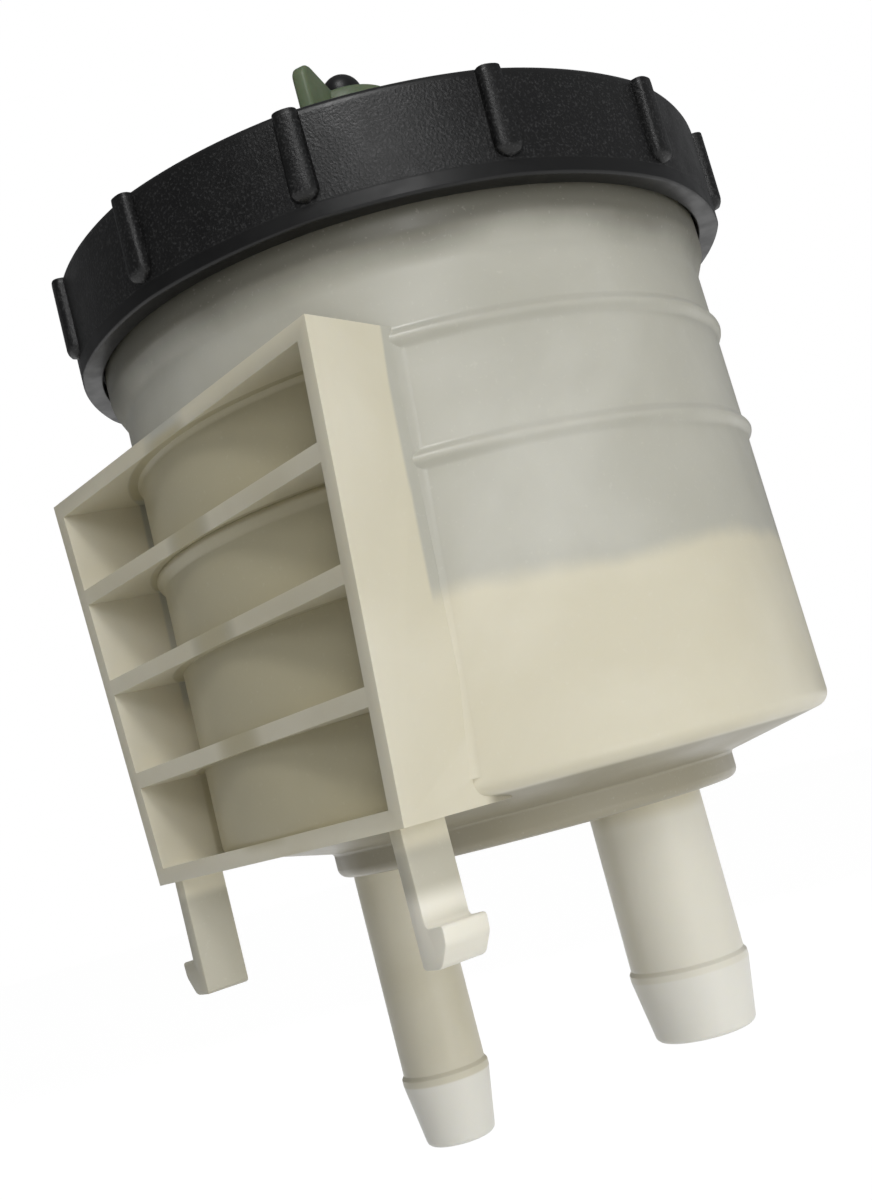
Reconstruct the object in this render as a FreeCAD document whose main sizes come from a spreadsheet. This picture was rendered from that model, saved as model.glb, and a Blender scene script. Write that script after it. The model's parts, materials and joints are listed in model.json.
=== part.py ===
import FreeCAD, Part
import Sketcher
import math
import os
from types import SimpleNamespace
from FreeCAD import Placement, Rotation, Vector

# A power steering reservoir: a moulded tank with a snap bracket and two hose stubs, closed by
# a green cover under a black union ring, with a filler cap, a dipstick and a filter inside.
# Each piece is drawn about the tank's axis, with z = 0 where the tank's floor meets its boss,
# and is then placed so that the origin lies on the bracket's front face.

SIZES = [
    ("tank_low_radius", 49.4, "tank wall outside, at the lower corner"),
    ("tank_taper", 0.9, "how much slimmer the tank wall is under the collar"),
    ("tank_wall", 2.4, "thickness of the tank wall"),
    ("corner_height", 4.6, "height of the tank's lower corner above the floor crease"),
    ("corner_round", 2.2, "round of that corner"),
    ("corner_bend", 3.08, "radius of the arc that rounds it outside"),
    ("floor_thickness", 2.8, "thickness of the tank's floor"),
    ("boss_margin", 0.05, "boss under the floor, wider than the grommet's far side"),
    ("boss_depth", 4.0, "depth of that boss"),
    ("boss_round", 1.5, "round of the boss's lower edge"),
    ("bead_drop", 9.8, "upper level bead below the collar's flare"),
    ("bead_span", 16.8, "from the upper level bead to the lower one"),
    ("bead_proud", 0.9, "how far a bead stands out"),
    ("bead_half", 1.5, "half of a bead's width"),
    ("collar_top", 83.0, "top of the collar under the union ring"),
    ("collar_height", 4.8, "height of the collar's upright face"),
    ("collar_flare", 3.6, "height of the hollow curve that leads into the collar"),
    ("collar_bend", 5.0, "radius of that curve"),
    ("collar_gap", 0.4, "gap between the collar and the union ring"),
    ("ledge_rise", 0.2, "rise of the ledge from the collar to the neck"),
    ("neck_step", 0.3, "how much slimmer the threaded neck is than the wall under the collar"),
    ("neck_height", 8.0, "height of the neck above the collar"),
    ("thread_pitch", 4.0, "rise of the union thread in one turn"),
    ("thread_turns", 1.3, "turns of thread on the neck"),
    ("thread_depth", 1.8, "height of a thread ridge on the neck"),
    ("thread_gap", 0.6, "gap between the neck's thread and the ring's bore"),
    ("thread_root", 2.2, "width of a thread ridge at its root"),
    ("thread_crest", 1.3, "width of a thread ridge at its crest"),
    ("thread_rise", 1.6, "start of the thread above the collar"),
    ("thread_sink", 0.6, "how deep a thread ridge is rooted in its wall"),
    ("ring_thread_depth", 2.0, "height of a thread ridge in the ring"),
    ("ring_thread_turns", 1.5, "turns of thread in the ring"),
    ("bracket_stand", 1.0, "bracket's front face before the tank's lower wall"),
    ("bracket_back_share", 0.6275, "bracket's back from the axis, as a share of the tank's radius"),
    ("bracket_low", 2.2, "underside of the bracket"),
    ("bracket_drop", 8.1, "top of the bracket below the collar's flare"),
    ("shelf", 2.5, "thickness of a shelf"),
    ("side_wall", 2.5, "thickness of a side wall"),
    ("front_inset_high", 10.1, "half of the bracket's width is this much less than the tank's radius, front, top"),
    ("front_inset_low", 16.5, "the same, front, bottom"),
    ("back_inset_high", 14.8, "the same, back, top"),
    ("back_inset_low", 18.0, "the same, back, bottom"),
    ("hook_thickness", 2.6, "thickness of a snap hook"),
    ("hook_width", 7.4, "width of a snap hook along the wall"),
    ("hook_setback", 1.2, "hook's edge behind the bracket's front face"),
    ("hook_reach", 15.5, "how far a hook reaches below the floor crease"),
    ("hook_catch", 10.2, "depth of the catch below the floor crease"),
    ("hook_barb", 3.4, "how far the barb stands out"),
    ("hook_land", 1.4, "height of the barb's outer face"),
    ("hook_nose", 0.9, "how far the hook's foot stands out"),
    ("hook_round", 5.0, "round from the barb's outer face to the foot"),
    ("suction_share", 0.3577, "suction stub from the axis, as a share of the tank's radius"),
    ("suction_turn", 56.3, "direction of the suction stub about the axis"),
    ("suction_radius", 9.2, "outside of the suction stub"),
    ("suction_wall", 2.2, "thickness of the suction stub"),
    ("suction_end", 41.8, "suction stub's end below the floor crease"),
    ("suction_fillet", 2.0, "round where the suction stub leaves the boss"),
    ("return_turn", 218.5, "direction of the return stub about the axis"),
    ("return_radius", 6.7, "outside of the return stub"),
    ("return_wall", 1.9, "thickness of the return stub"),
    ("return_end", 48.8, "return stub's end below the floor crease"),
    ("return_fillet", 1.0, "round where the return stub leaves the boss"),
    ("barb_length", 10.0, "tapered end of a hose stub"),
    ("barb_step", 0.4, "step where that taper starts"),
    ("barb_land", 1.2, "height of the upright face above the taper, which seals the hose"),
    ("barb_taper", 1.2, "how much a stub's end is slimmer than the stub"),
    ("barb_round", 1.0, "round of a stub's end"),
    ("ring_wall", 3.4, "thickness of the union ring"),
    ("ring_overlap", 1.4, "how far the union ring hangs over the collar"),
    ("lip_thickness", 2.6, "inward lip that holds the cover down"),
    ("ring_edge", 1.2, "round on the ring's top edge"),
    ("rib_count", 12, "grip ribs round the ring"),
    ("rib_width", 3.4, "width of a grip rib"),
    ("rib_proud", 1.5, "how far a grip rib stands out at its foot"),
    ("rib_top_proud", 1.2, "how far it stands out at its top"),
    ("rib_start", 2.6, "lower end of a grip rib above the ring's lower edge"),
    ("rib_turn", 9.8, "angle of the first grip rib"),
    ("running_gap", 0.2, "gap between faces that slide on each other"),
    ("seal_gap", 0.3, "gap between the flat seal and the rim"),
    ("seal_thickness", 1.4, "flat seal under the cover"),
    ("flange_thickness", 2.2, "cover's flange under the ring's lip"),
    ("flange_inset", 0.2, "how far the flange and its seal lie inside the neck's outside"),
    ("spigot_gap", 0.4, "gap round the cover's spigot in the tank"),
    ("spigot_depth", 4.0, "depth of that spigot"),
    ("crown_gap", 1.5, "gap between the cover's raised middle and the ring's lip"),
    ("crown_rise", 3.4, "rise of that middle above the flange"),
    ("crown_clearance", 1.35, "gap between that middle's wall and the spring's cup under it"),
    ("crown_round", 1.2, "round of its edge"),
    ("cover_wall", 2.2, "thickness of the cover's walls"),
    ("cover_ribs", 8, "stiffening ribs on the cover"),
    ("cover_rib_rise", 2.8, "height of those ribs at the filler neck"),
    ("cover_rib_end", 0.6, "height of those ribs at their outer end"),
    ("filler_radius", 14.6, "filler neck outside"),
    ("filler_wall", 3.0, "thickness of the filler neck"),
    ("filler_height", 11.1, "height of the filler neck above the cover"),
    ("filler_fillet", 1.5, "round at the foot of the filler neck"),
    ("lug_reach", 1.4, "how far a bayonet lug stands out"),
    ("lug_height", 2.0, "height of a bayonet lug"),
    ("lug_angle", 50.0, "angle that a bayonet lug spans"),
    ("lug_drop", 0.2, "neck's lugs below the neck's top"),
    ("lug_gap", 0.3, "gap between the neck's lugs and the cap's lugs"),
    ("cap_gap", 0.8, "gap between the bayonet lugs and the cap's skirt"),
    ("cap_skirt", 7.8, "cap's skirt below the top of the filler neck"),
    ("cap_plate", 3.4, "thickness of the cap's top"),
    ("cap_wall", 1.8, "thickness of the cap's skirt"),
    ("cap_round", 1.5, "round of the cap's shoulder"),
    ("cap_sweep", 4.0, "hollow curve from the shoulder to the hub"),
    ("hub_radius", 8.6, "cap's hub at its top"),
    ("hub_height", 8.8, "height of the hub above the shoulder"),
    ("hub_flare", 1.2, "how much wider the hub is at its foot"),
    ("hub_round", 1.0, "round of the hub's top edge"),
    ("wing_half", 17.4, "reach of a wing from the axis"),
    ("wing_rise", 2.6, "height of a wing's tip above the hub"),
    ("wing_thickness", 2.6, "thickness of a wing"),
    ("wing_root", 4.5, "inner end of a wing, from the axis"),
    ("wing_sink", 0.2, "that end's top below the hub's top"),
    ("wing_round", 3.0, "round of a wing's upper corner"),
    ("wing_turn", -62.0, "direction in which the first wing points"),
    ("plug_gap", 0.4, "gap round the cap's plug in the filler neck"),
    ("plug_depth", 6.0, "depth of that plug"),
    ("cap_seal_section", 0.85, "section radius of the cap's ring seal"),
    ("cap_seal_gap", 0.05, "gap round that seal"),
    ("vent_radius", 3.6, "vent button on the cap"),
    ("vent_rise", 6.0, "height of that button"),
    ("vent_stem", 2.0, "hole for that button's stem"),
    ("vent_fit", 0.05, "gap round that stem"),
    ("vent_grip", 4.8, "depth of that stem in the hub"),
    ("dip_width", 6.0, "width of the dipstick's blade"),
    ("dip_thickness", 1.6, "thickness of that blade"),
    ("dip_grip", 2.9, "depth of the blade's end in the cap"),
    ("dip_upper", 43.4, "upper level notch, below the cap's underside"),
    ("dip_span", 12.0, "from the upper level notch to the lower one"),
    ("dip_tail", 8.0, "from the lower level notch to the tip"),
    ("dip_notch", 0.9, "depth of a level notch"),
    ("cup_gap", 1.0, "gap between the baffle cup and the tank wall"),
    ("cup_lift", 0.3, "gap between the baffle cup and the tank's floor"),
    ("cup_wall", 1.8, "thickness of the baffle cup"),
    ("cup_height", 27.2, "height of the baffle cup"),
    ("cup_round", 2.0, "round of the baffle cup's lower edge"),
    ("cup_hole_gap", 1.6, "suction hole in the cup, wider than the stub's bore"),
    ("inlet_wall", 2.6, "thickness of the grommet over the return stub"),
    ("inlet_gap", 0.3, "grommet's bore, wider than the stub's bore"),
    ("inlet_fit", 0.1, "gap round the grommet in the baffle cup"),
    ("filter_radius", 18.4, "filter end plates"),
    ("filter_gap", 0.75, "gap between the filter and the baffle cup's wall"),
    ("plate_thickness", 1.6, "thickness of the filter's end plates"),
    ("filter_height", 20.0, "height of the pleated ring"),
    ("pleat_count", 28, "pleats in the filter"),
    ("pleat_inner", 9.4, "pleats, inner folds"),
    ("pleat_margin", 1.0, "pleats' outer folds inside the end plates' edge"),
    ("pleat_sheet", 0.6, "thickness of the pleated sheet"),
    ("core_gap", 0.6, "gap between the core and the pleats"),
    ("core_wall", 1.2, "thickness of the core"),
    ("core_hole", 1.5, "radius of a hole in the core"),
    ("core_columns", 8, "holes in a row round the core"),
    ("seat_share", 0.25, "bypass opening in the upper plate, as a share of the filter's radius"),
    ("valve_lap", 1.6, "how far the bypass disc laps over its opening"),
    ("valve_thickness", 1.4, "thickness of the bypass disc"),
    ("valve_seat_gap", 0.05, "gap under the closed bypass disc"),
    ("valve_stem", 1.3, "guide stem of the bypass disc"),
    ("stem_gap", 0.25, "gap round that stem in the cage"),
    ("cage_gap", 1.1, "gap round the bypass disc in its cage"),
    ("cage_height", 9.4, "height of that cage"),
    ("cage_wall", 1.3, "thickness of that cage"),
    ("cage_round", 0.8, "round of the cage's edge"),
    ("cage_window", 5.0, "width and height of the cage's windows"),
    ("valve_spring_radius", 3.6, "bypass spring, to the wire's middle"),
    ("valve_spring_wire", 0.35, "bypass spring, wire radius"),
    ("valve_spring_turns", 4.5, "bypass spring, turns"),
    ("hold_spring_gap", 0.7, "gap between the cage and the hold-down spring"),
    ("hold_spring_wire", 0.75, "hold-down spring, wire radius"),
    ("hold_spring_turns", 8.5, "hold-down spring, turns"),
    ("spring_rest", 0.02, "gap at a spring's ends"),
    ("spring_cup_gap", 0.3, "gap round the spring in its cup"),
    ("spring_cup_wall", 0.8, "thickness of the pressed cup at the spring's top"),
    ("spring_cup_depth", 4.0, "depth of that cup"),
    ("spring_cup_hole", 3.6, "hole in the middle of that cup"),
    ("rim_height", 1.2, "rim on the upper plate that centres the spring"),
    ("strainer_margin", 2.0, "strainer's frame beyond the hole in the baffle cup"),
    ("strainer_height", 9.0, "height of the strainer"),
    ("strainer_bar", 1.4, "thickness of the strainer's frame"),
    ("strainer_window", 10.0, "width of a window in the strainer"),
    ("mesh_sheet", 0.4, "thickness of the strainer's mesh"),
    ("mesh_gap", 0.05, "gap between the mesh and its frame"),
]


class Size:
    """A dimension that carries its number and the sheet expression that gives it."""

    def __init__(self, number, text=None):
        self.number = float(number)
        self.text = text or f"{self.number:.6f}"
        self.bound = text is not None

    @staticmethod
    def of(thing):
        return thing if isinstance(thing, Size) else Size(thing)

    def combine(self, other, sign, number):
        if not (self.bound or other.bound):
            return Size(number)
        return Size(number, f"({self.text} {sign} {other.text})")

    def __add__(self, other):
        other = Size.of(other)
        return self.combine(other, "+", self.number + other.number)

    def __sub__(self, other):
        other = Size.of(other)
        return self.combine(other, "-", self.number - other.number)

    def __mul__(self, other):
        other = Size.of(other)
        return self.combine(other, "*", self.number * other.number)

    def __truediv__(self, other):
        other = Size.of(other)
        return self.combine(other, "/", self.number / other.number)

    def __radd__(self, other):
        return Size.of(other) + self

    def __rsub__(self, other):
        return Size.of(other) - self

    def __rmul__(self, other):
        return Size.of(other) * self

    def __rtruediv__(self, other):
        return Size.of(other) / self

    def __neg__(self):
        return Size(0) - self


def along(distance, angle):
    """The place at a distance from the tank's axis, in a direction given in degrees."""
    way = math.radians(angle.number)
    return (distance * Size(math.cos(way), f"cos({angle.text} * 1 deg)"),
            distance * Size(math.sin(way), f"sin({angle.text} * 1 deg)"))


CELLS = 4
doc = FreeCAD.newDocument("reservoir")
sheet = doc.addObject("Spreadsheet::Sheet", "Sizes")
for row, (alias, number, meaning) in enumerate(SIZES, start=1):
    sheet.set(f"A{row}", meaning)
    sheet.set(f"B{row}", str(number))
    sheet.setAlias(f"B{row}", alias)
doc.recompute()
size = SimpleNamespace(**{row[0]: Size(row[1], f"Sizes.{row[0]}") for row in SIZES})


def bind(item, path, amount):
    """Ties one property to the sheet."""
    item.setExpression(path, Size.of(amount).text)


def origin_piece(body, role):
    """The body's own origin plane or axis with that role."""
    return next(item for item in body.Origin.OriginFeatures if item.Role == role)


def new_body(label, place=(0, 0)):
    """An empty body with its own name, at a place about the tank's axis."""
    body = doc.addObject("PartDesign::Body", label)
    body.Label = label
    bind(body, "Placement.Base.x", place[0])
    bind(body, "Placement.Base.y", place[1] + bracket_front)
    bind(body, "Placement.Base.z", -mount_height)
    return body


def new_sketch(body, name, role="XZ_Plane", shift=(0, 0, 0), turn=0):
    """A sketch on one of the body's origin planes, moved along and turned in that plane's own axes."""
    sketch = body.newObject("Sketcher::SketchObject", f"{body.Name}_{name}")
    sketch.AttachmentSupport = [(origin_piece(body, role), "")]
    sketch.MapMode = "FlatFace"
    for axis, amount in zip("xyz", shift):
        bind(sketch, f"AttachmentOffset.Base.{axis}", amount)
    if Size.of(turn).number:
        axis = Vector(0, 1, 0) if role == "XZ_Plane" else Vector(0, 0, 1)
        sketch.AttachmentOffset = Placement(sketch.AttachmentOffset.Base, Rotation(axis, 1))
        bind(sketch, "AttachmentOffset.Rotation.Angle", turn)
    return sketch


def pin_point(rules, sketch_item, corner, point):
    """Rules that hold a point at its distances from the sketch's origin."""
    rules.append(("DistanceX", (-1, 1, sketch_item, corner), point[0]))
    rules.append(("DistanceY", (-1, 1, sketch_item, corner), point[1]))


def apply_rules(sketch, rules):
    """Adds dimension rules to a sketch and ties each one to the sheet."""
    made = sketch.addConstraint(
        [Sketcher.Constraint(kind, *items, Size.of(amount).number) for kind, items, amount in rules])
    for index, (kind, items, amount) in zip(made, rules):
        if Size.of(amount).bound:
            bind(sketch, f"Constraints[{index}]", amount)


def outline(sketch, points):
    """One closed outline. (x, y) ends a straight edge; (x, y, bend) ends an arc of that radius,
    whose centre is on the left of the way for a positive bend and on the right for a negative one."""
    first = sketch.GeometryCount
    shapes = []
    ends = []
    bends = []
    for index, point in enumerate(points):
        before = points[index - 1]
        start = Vector(Size.of(before[0]).number, Size.of(before[1]).number, 0)
        end = Vector(Size.of(point[0]).number, Size.of(point[1]).number, 0)
        if len(point) == 2:
            shapes.append(Part.LineSegment(start, end))
            ends.append((1, 2))
            continue
        bend = Size.of(point[2])
        radius = abs(bend.number)
        chord = end - start
        rise = math.sqrt(max(radius * radius - chord.Length ** 2 / 4, 0))
        side = Vector(-chord.y, chord.x, 0).normalize() * rise
        left = bend.number > 0
        middle = (start + end) * 0.5 + (side if left else -side)
        a, b = (start, end) if left else (end, start)
        angles = [math.atan2(p.y - middle.y, p.x - middle.x) for p in (a, b)]
        shapes.append(Part.ArcOfCircle(Part.Circle(middle, Vector(0, 0, 1), radius), *angles))
        ends.append((1, 2) if left else (2, 1))
        bends.append((first + index, bend if left else -bend))
    sketch.addGeometry(shapes, False)
    count = len(points)
    sketch.addConstraint([
        Sketcher.Constraint("Coincident", first + i, ends[i][1], first + (i + 1) % count,
                            ends[(i + 1) % count][0]) for i in range(count)])
    rules = []
    for index, point in enumerate(points):
        pin_point(rules, first + index, ends[index][1], point)
    rules += [("Radius", (item,), bend) for item, bend in bends]
    apply_rules(sketch, rules)


def circle(sketch, x, y, radius):
    """One full circle."""
    item = sketch.addGeometry(
        Part.Circle(Vector(Size.of(x).number, Size.of(y).number, 0), Vector(0, 0, 1),
                    Size.of(radius).number), False)
    rules = [("Radius", (item,), radius)]
    pin_point(rules, item, 3, (x, y))
    apply_rules(sketch, rules)


def revolve(body, sketch, name, cut=False):
    """Turns a sketch about its upright axis, to add or to cut."""
    kind = "PartDesign::Groove" if cut else "PartDesign::Revolution"
    feature = body.newObject(kind, f"{body.Name}_{name}")
    feature.Profile = sketch
    feature.ReferenceAxis = (sketch, ["V_Axis"])
    feature.Angle = 360
    return feature


def pad(body, sketch, name, length, both=False, cut=False, backwards=False):
    """Pads or pockets a sketch by a length, to one side or evenly to both."""
    kind = "PartDesign::Pocket" if cut else "PartDesign::Pad"
    feature = body.newObject(kind, f"{body.Name}_{name}")
    feature.Profile = sketch
    bind(feature, "Length", length)
    feature.SideType = "Symmetric" if both else "One side"
    feature.Reversed = backwards
    return feature


def repeat(body, feature, name, count):
    """Repeats a feature evenly about the upright axis."""
    pattern = body.newObject("PartDesign::PolarPattern", f"{body.Name}_{name}")
    pattern.Originals = [feature]
    pattern.Axis = (origin_piece(body, "Z_Axis"), [""])
    pattern.Angle = 360
    bind(pattern, "Occurrences", count)
    body.Tip = pattern
    return pattern


def loft(body, first, last, name, cut=False):
    """Joins two like sketches by flat sides."""
    kind = "PartDesign::SubtractiveLoft" if cut else "PartDesign::AdditiveLoft"
    feature = body.newObject(kind, f"{body.Name}_{name}")
    feature.Profile = first
    feature.Sections = [last]
    feature.Ruled = True
    return feature


def thread(body, name, root, reach, turns, far_side=False):
    """A helical ridge about the axis, from its root radius outwards, or inwards for a negative reach."""
    sketch = new_sketch(body, f"{name}_ridge")
    side = -1 if far_side else 1
    sunk = root + size.thread_sink * (-1 if reach.number > 0 else 1)
    low = thread_start - size.thread_root / 2
    high = thread_start + size.thread_root / 2
    crest_low = thread_start - size.thread_crest / 2
    crest_high = thread_start + size.thread_crest / 2
    outline(sketch, [
        (side * sunk, low),
        (side * root, low),
        (side * (root + reach), crest_low),
        (side * (root + reach), crest_high),
        (side * root, high),
        (side * sunk, high),
    ])
    helix = body.newObject("PartDesign::AdditiveHelix", f"{body.Name}_{name}")
    helix.Profile = sketch
    helix.ReferenceAxis = (sketch, ["V_Axis"])
    helix.Mode = "pitch-turns-angle"
    helix.Angle = 0
    bind(helix, "Pitch", size.thread_pitch)
    bind(helix, "Turns", turns)


# Heights and radii that several pieces share
overcut = Size(1)
rim = size.collar_top + size.neck_height
collar_low = size.collar_top - size.collar_height - size.collar_flare
tank_high_radius = size.tank_low_radius - size.tank_taper
neck_radius = tank_high_radius - size.neck_step
ring_bore = neck_radius + size.thread_depth + size.thread_gap
collar_radius = ring_bore - size.collar_gap
ring_radius = ring_bore + size.ring_wall
ring_low = size.collar_top - size.ring_overlap
neck_inside = neck_radius - size.tank_wall
bead_high = collar_low - size.bead_drop
bead_low = bead_high - size.bead_span
bracket_front = size.tank_low_radius + size.bracket_stand
bracket_back = size.tank_low_radius * size.bracket_back_share
bracket_high = collar_low - size.bracket_drop
shelf_pitch = (bracket_high - size.bracket_low - size.shelf) / CELLS
front_half_low = size.tank_low_radius - size.front_inset_low
thread_start = size.collar_top + size.thread_rise
flange_low = rim + size.seal_gap + size.seal_thickness
flange_top = flange_low + size.flange_thickness
lip_low = flange_top + size.running_gap
ring_top = lip_low + size.lip_thickness
crown_top = flange_top + size.crown_rise
crown_under = crown_top - size.cover_wall
filler_bore = size.filler_radius - size.filler_wall
filler_top = crown_top + size.filler_height
neck_lug_low = filler_top - size.lug_drop - size.lug_height
cap_under = filler_top + size.running_gap
cap_inside = size.filler_radius + size.lug_reach + size.cap_gap
cap_radius = cap_inside + size.cap_wall
cap_top = cap_under + size.cap_plate
hub_top = cap_top + size.hub_height
plug_low = cap_under - size.plug_depth
cap_seal_height = cap_under - size.plug_depth / 2
cap_seal_radius = filler_bore - size.cap_seal_section - size.cap_seal_gap
suction_bore = size.suction_radius - size.suction_wall
return_bore = size.return_radius - size.return_wall
suction_hole = suction_bore + size.cup_hole_gap
inlet_bore = return_bore + size.inlet_gap
inlet_radius = inlet_bore + size.inlet_wall
cup_radius = size.tank_low_radius - size.tank_wall - size.cup_gap
cup_inside = cup_radius - size.cup_wall
# The filter fills the cup up to its wall, and the boss reaches just past the filter's inlet
return_distance = cup_inside - size.filter_gap - size.filter_radius
boss_radius = return_distance + inlet_radius + size.boss_margin
sump_radius = boss_radius - size.floor_thickness
sump_floor = size.floor_thickness - size.boss_depth
corner_floor = size.corner_height - size.corner_round / 2
floor_slope = corner_floor / (size.tank_low_radius - size.corner_round - boss_radius)
cup_foot = cup_radius - size.cup_round
cup_low = size.floor_thickness + floor_slope * (cup_foot - boss_radius) + size.cup_lift
cup_floor = cup_low + size.cup_wall
cup_top = cup_low + size.cup_height
plate_low = cup_floor + size.running_gap
pleat_low = plate_low + size.plate_thickness
pleat_top = pleat_low + size.filter_height
plate_top = pleat_top + size.plate_thickness
valve_low = plate_top + size.valve_seat_gap
valve_high = valve_low + size.valve_thickness
seat_radius = size.filter_radius * size.seat_share
valve_radius = seat_radius + size.valve_lap
cage_radius = valve_radius + size.cage_gap + size.cage_wall
cage_top = plate_top + size.cage_height
spring_radius = cage_radius + size.hold_spring_gap + size.hold_spring_wire
spring_reach = spring_radius + size.hold_spring_wire + size.spring_cup_gap
spring_cup_radius = spring_reach + size.spring_cup_wall
# The cover's crown holds the spring's cup, and the ring's lip lies round the crown
crown_radius = return_distance + spring_cup_radius + size.crown_clearance + size.cover_wall
lip_radius = crown_radius + size.crown_gap
spring_top = crown_under - size.spring_cup_wall - size.running_gap
strainer_radius = suction_hole + size.strainer_margin
strainer_inside = strainer_radius - size.strainer_bar
strainer_top = cup_floor + size.strainer_height
suction_place = along(size.tank_low_radius * size.suction_share, size.suction_turn)
return_place = along(return_distance, size.return_turn)
middle_shelf = CELLS // 2
mount_height = size.bracket_low + size.shelf / 2 + middle_shelf * shelf_pitch


def wall_radius(height):
    """The tank wall's outside radius at a height."""
    share = (height - size.corner_height) / (collar_low - size.corner_height)
    return size.tank_low_radius - share * size.tank_taper


def bead(height):
    """The outline of one level bead, from its lower edge to its upper edge."""
    half = size.bead_half
    bend = (half * half + size.bead_proud * size.bead_proud) / (2 * size.bead_proud)
    return [(wall_radius(height - half), height - half), (wall_radius(height + half), height + half, bend)]


def bracket_half(distance, height):
    """Half of the bracket's width at a distance from the axis and a height."""
    share = (height - size.bracket_low) / (bracket_high - size.bracket_low)
    front = front_half_low + share * (size.front_inset_low - size.front_inset_high)
    back = size.tank_low_radius - size.back_inset_low + share * (size.back_inset_low - size.back_inset_high)
    return back + (front - back) * (distance - bracket_back) / (bracket_front - bracket_back)


def bracket_section(body, name, height):
    """A level section of the bracket's block, which reaches a little past its front face."""
    sketch = new_sketch(body, name, "XY_Plane", (0, 0, height))
    nose = bracket_front + overcut
    front = bracket_half(nose, height)
    back = bracket_half(bracket_back, height)
    outline(sketch, [(-front, -nose), (front, -nose), (back, -bracket_back), (-back, -bracket_back)])
    return sketch


def cell_section(body, name, distance, low, high):
    """An upright section of an open cell between two shelves, at a distance from the axis."""
    sketch = new_sketch(body, name, "XZ_Plane", (0, 0, distance))
    narrow = bracket_half(distance, low) - size.side_wall
    wide = bracket_half(distance, high) - size.side_wall
    outline(sketch, [(-narrow, low), (narrow, low), (wide, high), (-wide, high)])
    return sketch


def add_bracket(body):
    """The snap bracket: a tapered block with four cells, cut flat at the front."""
    low = bracket_section(body, "block_low", size.bracket_low)
    high = bracket_section(body, "block_high", bracket_high)
    loft(body, low, high, "block")
    for cell in range(CELLS):
        floor = size.bracket_low + size.shelf + cell * shelf_pitch
        roof = floor + shelf_pitch - size.shelf
        front = cell_section(body, f"cell_{cell}_front", bracket_front + 2 * overcut, floor, roof)
        back = cell_section(body, f"cell_{cell}_back", bracket_back - overcut, floor, roof)
        loft(body, front, back, f"cell_{cell}", cut=True)
    face = new_sketch(body, "face", "XZ_Plane", (0, 0, bracket_front))
    reach = size.tank_low_radius
    bottom = size.bracket_low - overcut
    top = bracket_high + overcut
    outline(face, [(-reach, bottom), (reach, bottom), (reach, top), (-reach, top)])
    pad(body, face, "face_cut", 2 * overcut, cut=True, backwards=True)


def add_hooks(body):
    """Two snap hooks that hang from the bracket's lowest shelf, with barbs facing outwards."""
    sketch = new_sketch(body, "hooks", "XZ_Plane", (0, 0, bracket_front - size.hook_setback))
    face = front_half_low - size.side_wall
    inner = face - size.hook_thickness
    outer = face + size.hook_barb
    root = size.bracket_low + size.shelf / 2
    for side in (1, -1):
        outline(sketch, [
            (side * inner, root),
            (side * inner, -size.hook_reach),
            (side * (face + size.hook_nose), -size.hook_reach),
            (side * outer, -size.hook_catch - size.hook_land, side * size.hook_round),
            (side * outer, -size.hook_catch),
            (side * face, -size.hook_catch),
            (side * face, root),
        ])
    pad(body, sketch, "hook_pad", size.hook_width, backwards=True)


def add_stub(body, name, place, radius, end, fillet):
    """A hose stub under the boss, with a rounded root and a stepped, tapered end."""
    sketch = new_sketch(body, name, "XZ_Plane", (place[0], 0, -place[1]))
    step = size.barb_length - end
    land = step + size.barb_land
    tip = radius - size.barb_taper
    outline(sketch, [
        (0, sump_floor - overcut),
        (radius + fillet, sump_floor - overcut),
        (radius + fillet, -size.boss_depth),
        (radius, -size.boss_depth - fillet, fillet),
        (radius, land + size.barb_step),
        (radius + size.barb_step, land),
        (radius + size.barb_step, step),
        (tip, size.barb_round - end),
        (tip - size.barb_round, -end, -size.barb_round),
        (0, -end),
    ])
    revolve(body, sketch, f"{name}_turn")


def add_bore(body, name, place, bore, end):
    """The bore through a hose stub and the floor."""
    sketch = new_sketch(body, name, "XZ_Plane", (place[0], 0, -place[1]))
    low = -end - overcut
    high = size.floor_thickness + overcut
    outline(sketch, [(0, low), (bore, low), (bore, high), (0, high)])
    revolve(body, sketch, f"{name}_cut", cut=True)


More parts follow.
